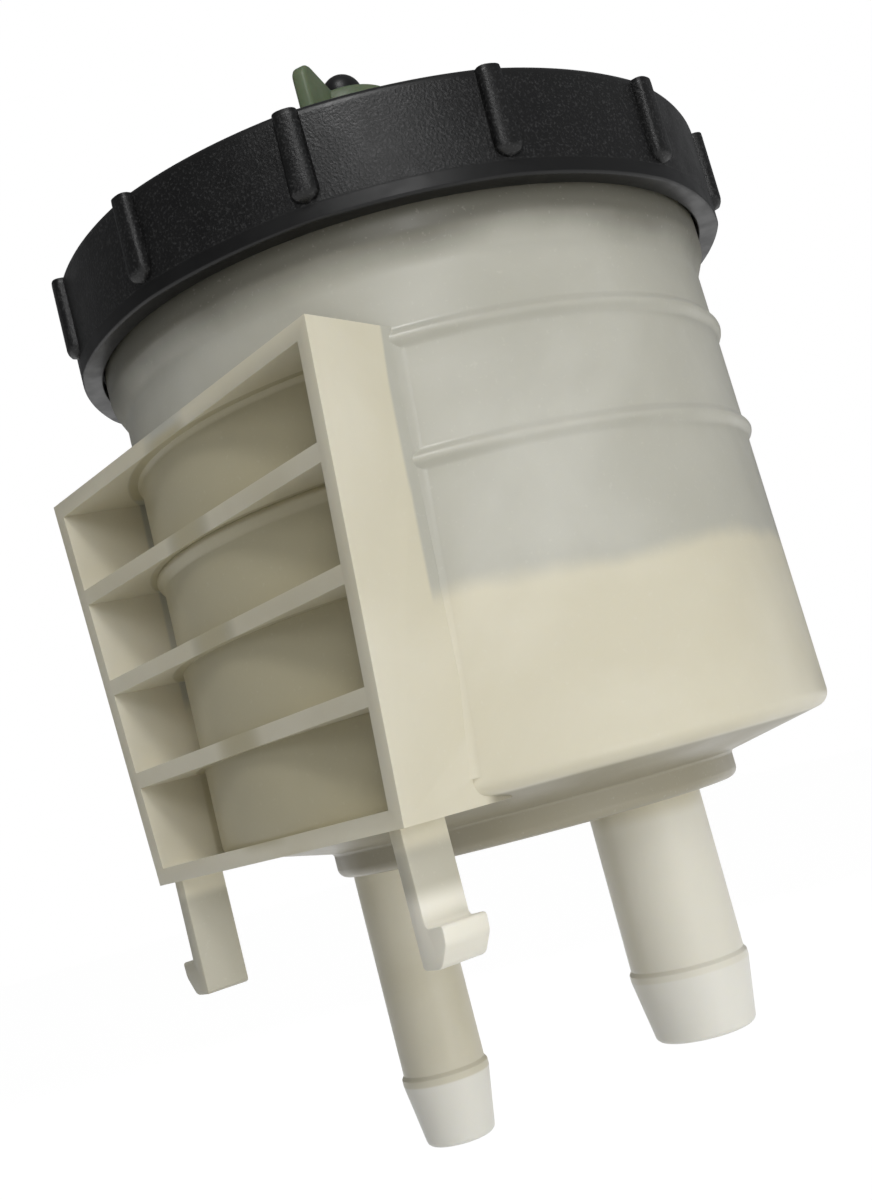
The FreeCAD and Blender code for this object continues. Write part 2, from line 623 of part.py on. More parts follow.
def make_tank():
    """The tank: one moulding with its bracket, hooks, stubs, beads, collar and thread."""
    body = new_body("tank")
    add_bracket(body)
    outside = new_sketch(body, "outside")
    corner_top = size.corner_height + size.corner_round / 2
    outline(outside, [
        (0, rim),
        (0, -size.boss_depth),
        (boss_radius - size.boss_round, -size.boss_depth),
        (boss_radius, size.boss_round - size.boss_depth, size.boss_round),
        (boss_radius, 0),
        (size.tank_low_radius - size.corner_round, corner_floor),
        (wall_radius(corner_top), corner_top, size.corner_bend),
        *bead(bead_low),
        *bead(bead_high),
        (tank_high_radius, collar_low),
        (collar_radius, collar_low + size.collar_flare, -size.collar_bend),
        (collar_radius, size.collar_top),
        (neck_radius, size.collar_top + size.ledge_rise),
        (neck_radius, rim),
    ])
    revolve(body, outside, "outside_turn")
    add_hooks(body)
    add_stub(body, "suction_stub", suction_place, size.suction_radius, size.suction_end, size.suction_fillet)
    add_stub(body, "return_stub", return_place, size.return_radius, size.return_end, size.return_fillet)
    inside = new_sketch(body, "inside")
    wall_inside = size.tank_low_radius - size.tank_wall
    corner_inside = wall_inside - size.corner_round
    corner_low = size.floor_thickness + floor_slope * (corner_inside - boss_radius)
    outline(inside, [
        (0, sump_floor),
        (sump_radius, sump_floor),
        (sump_radius, size.floor_thickness),
        (boss_radius, size.floor_thickness),
        (corner_inside, corner_low),
        (wall_inside, corner_low + size.corner_round, size.corner_round),
        (neck_inside, collar_low),
        (neck_inside, rim + overcut),
        (0, rim + overcut),
    ])
    revolve(body, inside, "inside_cut", cut=True)
    spigot = new_sketch(body, "return_spigot", "XZ_Plane", (return_place[0], 0, -return_place[1]))
    spigot_low = sump_floor - overcut
    outline(spigot, [
        (0, spigot_low),
        (size.return_radius, spigot_low),
        (size.return_radius, size.floor_thickness),
        (0, size.floor_thickness),
    ])
    revolve(body, spigot, "return_spigot_turn")
    add_bore(body, "suction_bore", suction_place, suction_bore, size.suction_end)
    add_bore(body, "return_bore", return_place, return_bore, size.return_end)
    thread(body, "thread", neck_radius, size.thread_depth, size.thread_turns)


def make_union_ring():
    """The union ring: a lipped nut with an inside thread and grip ribs."""
    body = new_body("union_ring")
    section = new_sketch(body, "section")
    outline(section, [
        (ring_bore, ring_low),
        (ring_radius, ring_low),
        (ring_radius, ring_top - size.ring_edge),
        (ring_radius - size.ring_edge, ring_top, size.ring_edge),
        (lip_radius, ring_top),
        (lip_radius, lip_low),
        (ring_bore, lip_low),
    ])
    revolve(body, section, "section_turn")
    thread(body, "thread", ring_bore, -size.ring_thread_depth, size.ring_thread_turns, far_side=True)
    rib = new_sketch(body, "rib", turn=size.rib_turn)
    foot = ring_low + size.rib_start
    outline(rib, [
        (ring_radius - overcut, foot),
        (ring_radius, foot),
        (ring_radius + size.rib_proud, foot + size.rib_proud, size.rib_proud),
        (ring_radius + size.rib_top_proud, ring_top - size.ring_edge),
        (ring_radius - overcut, ring_top),
    ])
    rib_pad = pad(body, rib, "rib_pad", size.rib_width, both=True)
    repeat(body, rib_pad, "ribs", size.rib_count)


def bayonet(body, name, radius, reach, low):
    """Two lugs opposite each other, each a slice of a ring."""
    sketch = new_sketch(body, name, "XZ_Plane", turn=size.wing_turn)
    inner = radius - (overcut if Size.of(reach).number > 0 else -overcut)
    high = low + size.lug_height
    outline(sketch, [(inner, low), (radius + reach, low), (radius + reach, high), (inner, high)])
    lug = revolve(body, sketch, f"{name}_turn")
    bind(lug, "Angle", size.lug_angle)
    lug.Midplane = True
    repeat(body, lug, f"{name}_pair", 2)


def make_cover():
    """The green cover: a flange and spigot that close the tank, a ribbed crown and the filler neck."""
    body = new_body("cover")
    section = new_sketch(body, "section")
    spigot = neck_inside - size.spigot_gap
    flange = neck_radius - size.flange_inset
    outline(section, [
        (filler_bore, filler_top),
        (filler_bore, crown_under),
        (crown_radius - size.cover_wall, crown_under),
        (crown_radius - size.cover_wall, flange_low),
        (spigot - size.cover_wall, flange_low),
        (spigot - size.cover_wall, flange_low - size.spigot_depth),
        (spigot, flange_low - size.spigot_depth),
        (spigot, flange_low),
        (flange, flange_low),
        (flange, flange_top),
        (crown_radius, flange_top),
        (crown_radius, crown_top - size.crown_round),
        (crown_radius - size.crown_round, crown_top, size.crown_round),
        (size.filler_radius + size.filler_fillet, crown_top),
        (size.filler_radius, crown_top + size.filler_fillet, -size.filler_fillet),
        (size.filler_radius, filler_top),
    ])
    revolve(body, section, "section_turn")
    rib = new_sketch(body, "rib")
    root = size.filler_radius - overcut
    far = crown_radius - 2 * size.crown_round
    outline(rib, [
        (root, crown_top - overcut),
        (far, crown_top - overcut),
        (far, crown_top + size.cover_rib_end),
        (root, crown_top + size.cover_rib_rise),
    ])
    rib_pad = pad(body, rib, "rib_pad", size.cover_wall, both=True)
    repeat(body, rib_pad, "ribs", size.cover_ribs)
    bayonet(body, "lugs", size.filler_radius, size.lug_reach, neck_lug_low)


def make_cover_seal():
    """The flat seal between the cover's flange and the tank's rim."""
    body = new_body("cover_seal")
    section = new_sketch(body, "section")
    inner = neck_inside + size.flange_inset
    outer = neck_radius - size.flange_inset
    low = rim + size.seal_gap
    outline(section, [(inner, low), (outer, low), (outer, flange_low), (inner, flange_low)])
    revolve(body, section, "section_turn")


def make_wing_cap():
    """The filler cap: a bayonet skirt, a plug for its seal, a hub and two wings."""
    body = new_body("wing_cap")
    section = new_sketch(body, "section")
    plug = filler_bore - size.plug_gap
    groove = cap_seal_radius - size.cap_seal_section - size.cap_seal_gap
    groove_half = size.cap_seal_section + size.cap_seal_gap
    outline(section, [
        (0, hub_top),
        (0, cap_under),
        (groove - size.cap_wall, cap_under),
        (groove - size.cap_wall, plug_low),
        (plug, plug_low),
        (plug, cap_seal_height - groove_half),
        (groove, cap_seal_height - groove_half),
        (groove, cap_seal_height + groove_half),
        (plug, cap_seal_height + groove_half),
        (plug, cap_under),
        (cap_inside, cap_under),
        (cap_inside, filler_top - size.cap_skirt),
        (cap_radius, filler_top - size.cap_skirt),
        (cap_radius, cap_top - size.cap_round),
        (cap_radius - size.cap_round, cap_top, size.cap_round),
        (size.hub_radius + size.hub_flare + size.cap_sweep, cap_top),
        (size.hub_radius + size.hub_flare, cap_top + size.cap_sweep, -size.cap_sweep),
        (size.hub_radius, hub_top - size.hub_round),
        (size.hub_radius - size.hub_round, hub_top, size.hub_round),
    ])
    revolve(body, section, "section_turn")
    wing = new_sketch(body, "wing", turn=size.wing_turn)
    foot = cap_top - overcut
    tip = hub_top + size.wing_rise
    for side in (1, -1):
        outline(wing, [
            (side * size.wing_root, foot),
            (side * size.wing_half, foot),
            (side * size.wing_half, tip - size.wing_round),
            (side * (size.wing_half - size.wing_round), tip, side * size.wing_round),
            (side * size.wing_root, hub_top - size.wing_sink),
        ])
    pad(body, wing, "wing_pad", size.wing_thickness, both=True)
    stem = new_sketch(body, "vent_hole")
    low = hub_top - size.vent_grip - size.running_gap
    high = hub_top + overcut
    outline(stem, [(0, low), (size.vent_stem, low), (size.vent_stem, high), (0, high)])
    revolve(body, stem, "vent_hole_cut", cut=True)
    bayonet(body, "lugs", cap_inside, -size.lug_reach, neck_lug_low - size.lug_gap - size.lug_height)
    slot = new_sketch(body, "dip_slot", "XY_Plane", (0, 0, cap_under))
    across = size.dip_width / 2
    along = size.dip_thickness / 2
    outline(slot, [(-across, -along), (across, -along), (across, along), (-across, along)])
    pad(body, slot, "dip_slot_cut", size.dip_grip + size.running_gap, cut=True, backwards=True)


def make_cap_seal():
    """The ring seal in the groove of the cap's plug."""
    body = new_body("cap_seal")
    section = new_sketch(body, "section")
    circle(section, cap_seal_radius, cap_seal_height, size.cap_seal_section)
    revolve(body, section, "section_turn")


def make_dipstick():
    """The dipstick: a flat blade with two pairs of level notches, pressed into the cap."""
    body = new_body("dipstick")
    face = new_sketch(body, "face")
    half = size.dip_width / 2
    waist = half - size.dip_notch
    upper = cap_under - size.dip_upper
    lower = upper - size.dip_span
    tip = lower - size.dip_tail
    right = [point for height in (lower, upper)
             for point in ((half, height - size.dip_notch), (waist, height), (half, height + size.dip_notch))]
    left = [(-x, height) for x, height in reversed(right)]
    shoulder = tip + half
    top = cap_under + size.dip_grip
    outline(face, [(-half, shoulder), (0, tip), (half, shoulder)] + right
            + [(half, top), (-half, top)] + left)
    pad(body, face, "face_pad", size.dip_thickness, both=True)


def make_vent_button():
    """The black vent button: a domed head on a stem in the cap's hub."""
    body = new_body("vent_button")
    section = new_sketch(body, "section")
    top = hub_top + size.vent_rise
    stem = size.vent_stem - size.vent_fit
    outline(section, [
        (0, hub_top - size.vent_grip),
        (stem, hub_top - size.vent_grip),
        (stem, hub_top),
        (size.vent_radius, hub_top),
        (size.vent_radius, top - size.vent_radius),
        (0, top, size.vent_radius),
    ])
    revolve(body, section, "section_turn")


def make_baffle_cup():
    """The cream cup that stands on the tank's floor and calms the oil round the filter."""
    body = new_body("baffle_cup")
    section = new_sketch(body, "section")
    outline(section, [
        (0, cup_low),
        (cup_foot, cup_low),
        (cup_radius, cup_low + size.cup_round, size.cup_round),
        (cup_radius, cup_top),
        (cup_inside, cup_top),
        (cup_inside, cup_floor),
        (0, cup_floor),
    ])
    revolve(body, section, "section_turn")
    holes = new_sketch(body, "holes", "XY_Plane", (0, 0, cup_low - overcut))
    circle(holes, *suction_place, suction_hole)
    circle(holes, *return_place, inlet_radius + size.inlet_fit)
    pad(body, holes, "holes_cut", size.cup_wall + 2 * overcut, cut=True, backwards=True)


def turned(label, place, points):
    """A body turned about its own upright axis, at a place on the tank's floor."""
    body = new_body(label, place)
    section = new_sketch(body, "section")
    outline(section, points)
    revolve(body, section, "section_turn")
    return body


def make_inlet_grommet():
    """The rubber grommet on the return stub's inner end, which leads the oil into the filter."""
    turned("inlet_grommet", return_place, [
        (inlet_bore, size.floor_thickness),
        (inlet_radius, size.floor_thickness),
        (inlet_radius, cup_floor),
        (inlet_bore, cup_floor),
    ])


def make_lower_plate():
    """The filter's lower end plate."""
    turned("filter_lower_plate", return_place, [
        (inlet_bore, plate_low),
        (size.filter_radius, plate_low),
        (size.filter_radius, pleat_low),
        (inlet_bore, pleat_low),
    ])


def make_upper_plate():
    """The filter's upper end plate, with the bypass opening and a rim that centres the long spring."""
    rim_inside = spring_reach
    rim_outside = rim_inside + size.rim_height
    turned("filter_upper_plate", return_place, [
        (seat_radius, pleat_top),
        (size.filter_radius, pleat_top),
        (size.filter_radius, plate_top),
        (rim_outside, plate_top),
        (rim_outside, plate_top + size.rim_height),
        (rim_inside, plate_top + size.rim_height),
        (rim_inside, plate_top),
        (seat_radius, plate_top),
    ])


def make_filter_core():
    """The filter's core: a tube with rows of round holes, every other row turned by half a step."""
    outer = size.pleat_inner - size.core_gap
    inner = outer - size.core_wall
    body = turned("filter_core", return_place, [
        (inner, pleat_low), (outer, pleat_low), (outer, pleat_top), (inner, pleat_top)])
    rows = 4
    for row in range(rows):
        half_step = Size(180 * (row % 2)) / size.core_columns
        holes = new_sketch(body, f"row_{row}", "XZ_Plane", turn=half_step)
        middle = pleat_low + size.filter_height * (2 * row + 1) / (2 * rows)
        circle(holes, 0, middle, size.core_hole)
        hole = pad(body, holes, f"row_{row}_hole", outer + overcut, cut=True)
        repeat(body, hole, f"row_{row}_holes", size.core_columns)


def make_pleats():
    """The pleated filter sheet: one fold, repeated round the core."""
    body = new_body("filter_pleats", return_place)
    fold = new_sketch(body, "fold", "XY_Plane", (0, 0, pleat_low))
    step = Size(180) / size.pleat_count
    angle = step.text
    cosine = Size(math.cos(math.radians(step.number)), f"cos({angle} * 1 deg)")
    sine = Size(math.sin(math.radians(step.number)), f"sin({angle} * 1 deg)")
    half = size.pleat_sheet / 2
    # A slanted sheet is wider along the radius than across itself
    slant = half / sine
    valley = size.pleat_inner - half
    outer_valley = size.pleat_inner + half
    pleat_outer = size.filter_radius - size.pleat_margin
    peak = pleat_outer + half
    inner_peak = pleat_outer - slant / 2
    outline(fold, [
        (valley * cosine, -valley * sine),
        (outer_valley * cosine, -outer_valley * sine),
        (peak, -half),
        (peak, half),
        (outer_valley * cosine, outer_valley * sine),
        (valley * cosine, valley * sine),
        (inner_peak, 0),
    ])
    fold_pad = pad(body, fold, "fold_pad", size.filter_height)
    repeat(body, fold_pad, "folds", size.pleat_count)


def make_bypass_disc():
    """The bypass disc on its seat, with the stem that the cage guides."""
    top = cage_top + overcut
    point = size.valve_stem / 2
    turned("bypass_disc", return_place, [
        (0, valve_low),
        (valve_radius, valve_low),
        (valve_radius, valve_high),
        (size.valve_stem, valve_high),
        (size.valve_stem, top - point),
        (point, top),
        (0, top),
    ])


def make_bypass_cage():
    """The cage that holds the bypass spring down and guides the disc's stem."""
    inside = cage_radius - size.cage_wall
    guide = size.valve_stem + size.stem_gap
    body = turned("bypass_cage", return_place, [
        (inside, plate_top),
        (cage_radius, plate_top),
        (cage_radius, cage_top - size.cage_round),
        (cage_radius - size.cage_round, cage_top, size.cage_round),
        (guide, cage_top),
        (guide, cage_top - size.cage_wall),
        (inside, cage_top - size.cage_wall),
    ])
    half = size.cage_window / 2
    middle = (plate_top + cage_top) / 2
    for number, role in enumerate(("XZ_Plane", "YZ_Plane")):
        window = new_sketch(body, f"window_{number}", role)
        outline(window, [(-half, middle - half), (half, middle - half),
                         (half, middle + half), (-half, middle + half)])
        pad(body, window, f"window_{number}_cut", 2 * (cage_radius + overcut), both=True, cut=True)


def coil_spring(label, radius, wire, turns, low, high):
    """A coil spring on the filter's axis: round wire along a helix."""
    body = new_body(label, return_place)
    section = new_sketch(body, "wire")
    circle(section, radius, low + wire, wire)
    helix = body.newObject("PartDesign::AdditiveHelix", f"{label}_coil")
    helix.Profile = section
    helix.ReferenceAxis = (section, ["V_Axis"])
    helix.Mode = "height-turns-angle"
    helix.Angle = 0
    bind(helix, "Height", high - low - 2 * wire)
    bind(helix, "Turns", turns)


def make_springs():
    """The bypass spring in its cage and the long spring that holds the filter down."""
    coil_spring("bypass_spring", size.valve_spring_radius, size.valve_spring_wire,
                size.valve_spring_turns, valve_high + size.spring_rest,
                cage_top - size.cage_wall - size.spring_rest)
    coil_spring("hold_down_spring", spring_radius, size.hold_spring_wire,
                size.hold_spring_turns, plate_top + size.spring_rest, spring_top)


def make_spring_cup():
    """The pressed cup under the cover that centres the long spring."""
    low = crown_under - size.spring_cup_depth
    top = crown_under - size.spring_rest
    turned("spring_cup", return_place, [
        (size.spring_cup_hole, crown_under - size.spring_cup_wall),
        (spring_reach, crown_under - size.spring_cup_wall),
        (spring_reach, low),
        (spring_cup_radius, low),
        (spring_cup_radius, top),
        (size.spring_cup_hole, top),
    ])


def make_strainer():
    """The strainer over the suction stub: a barred frame, and the mesh that stands inside it."""
    roof = strainer_top - size.strainer_bar
    body = turned("strainer_frame", suction_place, [
        (strainer_inside, cup_floor),
        (strainer_radius, cup_floor),
        (strainer_radius, strainer_top),
        (0, strainer_top),
        (0, roof),
        (strainer_inside, roof),
    ])
    half = size.strainer_window / 2
    for number, role in enumerate(("XZ_Plane", "YZ_Plane")):
        window = new_sketch(body, f"window_{number}", role)
        low = cup_floor + size.strainer_bar
        high = roof - size.strainer_bar
        outline(window, [(-half, low), (half, low), (half, high), (-half, high)])
        pad(body, window, f"window_{number}_cut", 2 * (strainer_radius + overcut), both=True, cut=True)
    outer = strainer_inside - size.mesh_gap
    inner = outer - size.mesh_sheet
    high = roof - size.mesh_gap
    turned("strainer_mesh", suction_place, [
        (inner, cup_floor), (outer, cup_floor), (outer, high), (inner, high)])


make_tank()
make_union_ring()
make_cover()
make_cover_seal()
make_wing_cap()
make_cap_seal()
make_dipstick()
make_vent_button()
make_baffle_cup()
make_inlet_grommet()
make_lower_plate()
make_filter_core()
make_pleats()
make_upper_plate()
make_bypass_disc()
make_bypass_cage()
make_springs()
make_spring_cup()
make_strainer()
doc.recompute()

for item in doc.Objects:
    if "Invalid" in item.State or "Error" in item.State:
        raise RuntimeError(f"{item.Name} failed: {item.State}")
pieces = [item for item in doc.Objects if item.TypeId == "PartDesign::Body"]
for piece in pieces:
    if piece.Shape.isNull() or not piece.Shape.isValid() or len(piece.Shape.Solids) != 1:
        raise RuntimeError(f"{piece.Label} is not one valid solid")

os.makedirs("parts", exist_ok=True)
for piece in pieces:
    piece.Shape.exportStep(f"parts/{piece.Label}.step")
    print(f"{piece.Label:20s} {piece.Shape.Volume / 1000:9.3f} cm3")
print(len(pieces), "pieces")
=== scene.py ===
# %% [markdown]
# # A power steering reservoir in moulded plastic
# The reservoir is a milky natural tank with a snap bracket on its side and two hose stubs below.
# A black union ring holds a green cover down on it, and a green winged cap closes the filler neck.
# The CAD model gives every place and size. Each main piece is made again here as a clean mesh with
# rounded edges, because light running along soft edges is what makes moulded plastic look moulded.

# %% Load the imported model
import json
import math

import bmesh
import bpy
from mathutils import Matrix, Vector


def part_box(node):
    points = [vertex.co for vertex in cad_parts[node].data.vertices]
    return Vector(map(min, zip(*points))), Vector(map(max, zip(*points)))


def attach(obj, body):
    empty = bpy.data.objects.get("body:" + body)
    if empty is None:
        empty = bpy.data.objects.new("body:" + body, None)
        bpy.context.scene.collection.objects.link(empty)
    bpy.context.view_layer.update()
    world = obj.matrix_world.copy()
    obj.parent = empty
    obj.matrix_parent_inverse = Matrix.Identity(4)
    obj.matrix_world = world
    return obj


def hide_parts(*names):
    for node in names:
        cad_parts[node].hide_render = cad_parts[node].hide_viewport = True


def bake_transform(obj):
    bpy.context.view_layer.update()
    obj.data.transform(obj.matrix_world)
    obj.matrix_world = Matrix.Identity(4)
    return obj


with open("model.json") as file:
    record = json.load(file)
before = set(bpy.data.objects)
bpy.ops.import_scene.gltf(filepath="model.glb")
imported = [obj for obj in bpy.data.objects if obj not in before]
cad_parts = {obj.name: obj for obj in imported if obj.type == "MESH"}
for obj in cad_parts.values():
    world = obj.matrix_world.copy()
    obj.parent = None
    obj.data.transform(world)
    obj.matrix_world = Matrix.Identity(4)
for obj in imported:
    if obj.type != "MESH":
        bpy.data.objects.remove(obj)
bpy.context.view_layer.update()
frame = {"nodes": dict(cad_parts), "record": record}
nodes = frame["nodes"]
MM = 0.001

# %% [markdown]
# ## Where things are
# All shapes below are written in millimetres about the tank's own axis, with height 0 at the crease
# between the tank's floor and its round boss. Two boxes of the CAD model say where that axis is:
# the union ring is round, so its middle lies on the axis, and the vent button is the highest point.

# %% Find the tank's axis
VENT_TOP = 127.8
ring_low, ring_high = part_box("union_ring")
tank_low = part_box("tank")[0]
vent_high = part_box("vent_button")[1]
origin = Vector((
    (ring_low.x + ring_high.x) / 2,
    (ring_low.y + ring_high.y) / 2,
    vent_high.z - VENT_TOP * MM,
))
print("tank axis at", [round(value / MM, 2) for value in origin], "mm")


def to_frame(mesh):
    """Moves a mesh drawn in millimetres about the tank's axis to its place in the model, in metres."""
    mesh.transform(Matrix.Translation(origin) @ Matrix.Scale(MM, 4))


def add_object(name, data):
    """A new object in the scene with this data."""
    item = bpy.data.objects.new(name, data)
    bpy.context.scene.collection.objects.link(item)
    return item


def outward(azimuth, elevation):
    """The way out from the tank at an azimuth, counted from the front, and an elevation."""
    return Vector((math.sin(azimuth) * math.cos(elevation), -math.cos(azimuth) * math.cos(elevation),
                   math.sin(elevation)))


# %% [markdown]
# ## The camera
# The photograph was taken from close by, in front of the bracket's right-hand side and a little
# below the middle, with the camera tilted sideways. A camera this close makes near parts large, so
# its distance matters as much as its direction.

# %% Place the camera
VIEW_AZIMUTH = math.radians(50.0)
VIEW_ELEVATION = math.radians(-7.24)
VIEW_ROLL = math.radians(-14.81)
VIEW_DISTANCE = 236.9
AIM_RIGHT = -6.6
AIM_HEIGHT = 35.6
LENS = 43.25
FILM_WIDTH = 36.0
SEEN_FROM = 0.01
SEEN_TO = 20.0

back = outward(VIEW_AZIMUTH, VIEW_ELEVATION)
level_right = Vector((math.cos(VIEW_AZIMUTH), math.sin(VIEW_AZIMUTH), 0))
level_up = back.cross(level_right)
right = level_right * math.cos(VIEW_ROLL) + level_up * math.sin(VIEW_ROLL)
up = level_up * math.cos(VIEW_ROLL) - level_right * math.sin(VIEW_ROLL)
target = level_right * AIM_RIGHT + Vector((0, 0, AIM_HEIGHT))
eye = origin + (target + back * VIEW_DISTANCE) * MM

camera = add_object("camera", bpy.data.cameras.new("camera"))
camera.data.lens = LENS
camera.data.sensor_width = FILM_WIDTH
camera.data.clip_start = SEEN_FROM
camera.data.clip_end = SEEN_TO
turn = Matrix((right, up, back)).transposed().to_4x4()
camera.matrix_world = Matrix.Translation(eye) @ turn
bpy.context.scene.camera = camera
print("camera at", [round(value, 3) for value in eye], "m")

# %% [markdown]
# ## Floor, backdrop and light
# The reservoir hangs on its bracket, so the floor lies well below it and only takes a faint shadow.
# The world is darker on the left, as in a room with one window: a dot product of the way a ray goes
# with the lit side gives its strength. The white that the camera sees comes from Light Path's Is Camera
# Ray, so it adds no light to the object.

# %% The world
LIT_SIDE = (1.0, 0.1, 0.0)
DARK_FROM = -0.5
WORLD_DARK = 0.16
WORLD_BRIGHT = 0.36


def connect(tree, *pairs):
    """Links pairs of sockets in a node tree, each an output and an input."""
    for output, socket in pairs:
        tree.links.new(output, socket)


def set_inputs(node, values):
    """Gives a node's inputs plain values, by name or number, and returns the node."""
    for key, value in values.items():
        node.inputs[key].default_value = value
    return node


def seen_directly(tree):
    """A value that is 1 for rays from the camera, a mirror or clear plastic, and 0 for others."""
    path = tree.nodes.new("ShaderNodeLightPath")
    total = path.outputs["Is Camera Ray"]
    for name in ("Is Glossy Ray", "Is Transmission Ray"):
        join = tree.nodes.new("ShaderNodeMath")
        join.operation = "MAXIMUM"
        connect(tree, (total, join.inputs[0]), (path.outputs[name], join.inputs[1]))
        total = join.outputs["Value"]
    return total


bpy.context.scene.view_settings.view_transform = "Standard"
world = bpy.data.worlds.new("studio")
bpy.context.scene.world = world
world.use_nodes = True
tree = world.node_tree
surround = set_inputs(tree.nodes["Background"], {"Color": (0.97, 0.98, 1.0, 1)})
sky_way = tree.nodes.new("ShaderNodeTexCoord")
toward = set_inputs(tree.nodes.new("ShaderNodeVectorMath"), {1: LIT_SIDE})
toward.operation = "DOT_PRODUCT"
fade = set_inputs(tree.nodes.new("ShaderNodeMapRange"),
                  {"From Min": DARK_FROM, "To Min": WORLD_DARK, "To Max": WORLD_BRIGHT})
connect(tree, (sky_way.outputs["Generated"], toward.inputs[0]),
        (toward.outputs["Value"], fade.inputs["Value"]),
        (fade.outputs["Result"], surround.inputs["Strength"]))
backdrop = set_inputs(tree.nodes.new("ShaderNodeBackground"), {"Color": (1, 1, 1, 1), "Strength": 1.0})
blend_world = tree.nodes.new("ShaderNodeMixShader")
path = tree.nodes.new("ShaderNodeLightPath")
connect(tree, (path.outputs["Is Camera Ray"], blend_world.inputs["Fac"]),
        (surround.outputs["Background"], blend_world.inputs[1]),
        (backdrop.outputs["Background"], blend_world.inputs[2]),
        (blend_world.outputs["Shader"], tree.nodes["World Output"].inputs["Surface"]))
print("world strength from", WORLD_DARK, "to", WORLD_BRIGHT)

# %% The floor
FLOOR_DEPTH = 0.12
FLOOR_SIZE = 6.0
FLOOR_COLOUR = (0.66, 0.66, 0.64, 1)
FLOOR_ROUGHNESS = 0.9
FLOOR_GLOW = 1.13
GLOW_SHARE = 0.86

floor_mesh = bpy.data.meshes.new("floor")
half_floor = FLOOR_SIZE / 2
floor_height = tank_low.z - FLOOR_DEPTH
floor_mesh.from_pydata([(x * half_floor, y * half_floor, floor_height) for x, y in
                        ((-1, -1), (1, -1), (1, 1), (-1, 1))], [], [(0, 1, 2, 3)])
floor = add_object("floor", floor_mesh)
floor_look = bpy.data.materials.new("floor_white")
floor_look.use_nodes = True
tree = floor_look.node_tree
matt = set_inputs(tree.nodes["Principled BSDF"],
                  {"Base Color": FLOOR_COLOUR, "Roughness": FLOOR_ROUGHNESS})
glow = set_inputs(tree.nodes.new("ShaderNodeEmission"), {"Strength": FLOOR_GLOW})
blend_floor = tree.nodes.new("ShaderNodeMixShader")
share = set_inputs(tree.nodes.new("ShaderNodeMath"), {1: GLOW_SHARE})
share.operation = "MULTIPLY"
connect(tree, (seen_directly(tree), share.inputs[0]), (share.outputs["Value"], blend_floor.inputs["Fac"]),
        (matt.outputs["BSDF"], blend_floor.inputs[1]), (glow.outputs["Emission"], blend_floor.inputs[2]),
        (blend_floor.outputs["Shader"], tree.nodes["Material Output"].inputs["Surface"]))
floor_mesh.materials.append(floor_look)
print("floor", FLOOR_DEPTH, "m below the tank")

# %% [markdown]
# ## Lamps
# One soft lamp high in front makes the shade in the bracket's cells. A broad lamp gives the wall and
# the ring their sheen beside the bracket. Two low ones on the right light the stubs, and one behind
# keeps the back from going dark. These last three aren't seen in gloss, because a mirrored lamp would
# show on the ring as a bright bar.

# %% Set the lamps
AIM = Vector((0, 0, 0.045))


def lamp(name, azimuth, elevation, distance, width, height, power):
    """A rectangular lamp that looks at the tank's middle from a direction given in degrees."""
    data = bpy.data.lights.new(name, "AREA")
    data.shape = "RECTANGLE"
    data.size = width
    data.size_y = height
    data.energy = power
    item = add_object(name, data)
    way = outward(math.radians(azimuth), math.radians(elevation))
    item.location = origin + AIM + way * distance
    item.rotation_euler = way.to_track_quat("Z", "Y").to_euler()
    return item


lamp("key", azimuth=48, elevation=50, distance=0.8, width=0.20, height=0.20, power=1.95)
lamp("broad", azimuth=57, elevation=18, distance=0.9, width=0.34, height=0.28, power=1.2)
for side_lamp in (
    lamp("right", azimuth=100, elevation=-4, distance=1.0, width=0.5, height=0.5, power=1.4),
    lamp("low", azimuth=82, elevation=-30, distance=0.30, width=0.10, height=0.10, power=0.17),
    lamp("back", azimuth=228, elevation=22, distance=1.0, width=0.6, height=0.6, power=2.8),
):
    side_lamp.visible_glossy = False

# %% [markdown]
# ## Plastic and metal
# Moulded plastic is never one flat colour. Natural plastic is milky: light goes in a little and comes
# out again, and what lies behind it shows as a tint. Each finish is a small node tree on Object
# coordinates, so that its pattern stays on the piece when the piece turns.


# %% Helpers for finishes
CLOUD_EDGE = (0.3, 0.7)
looks = {}


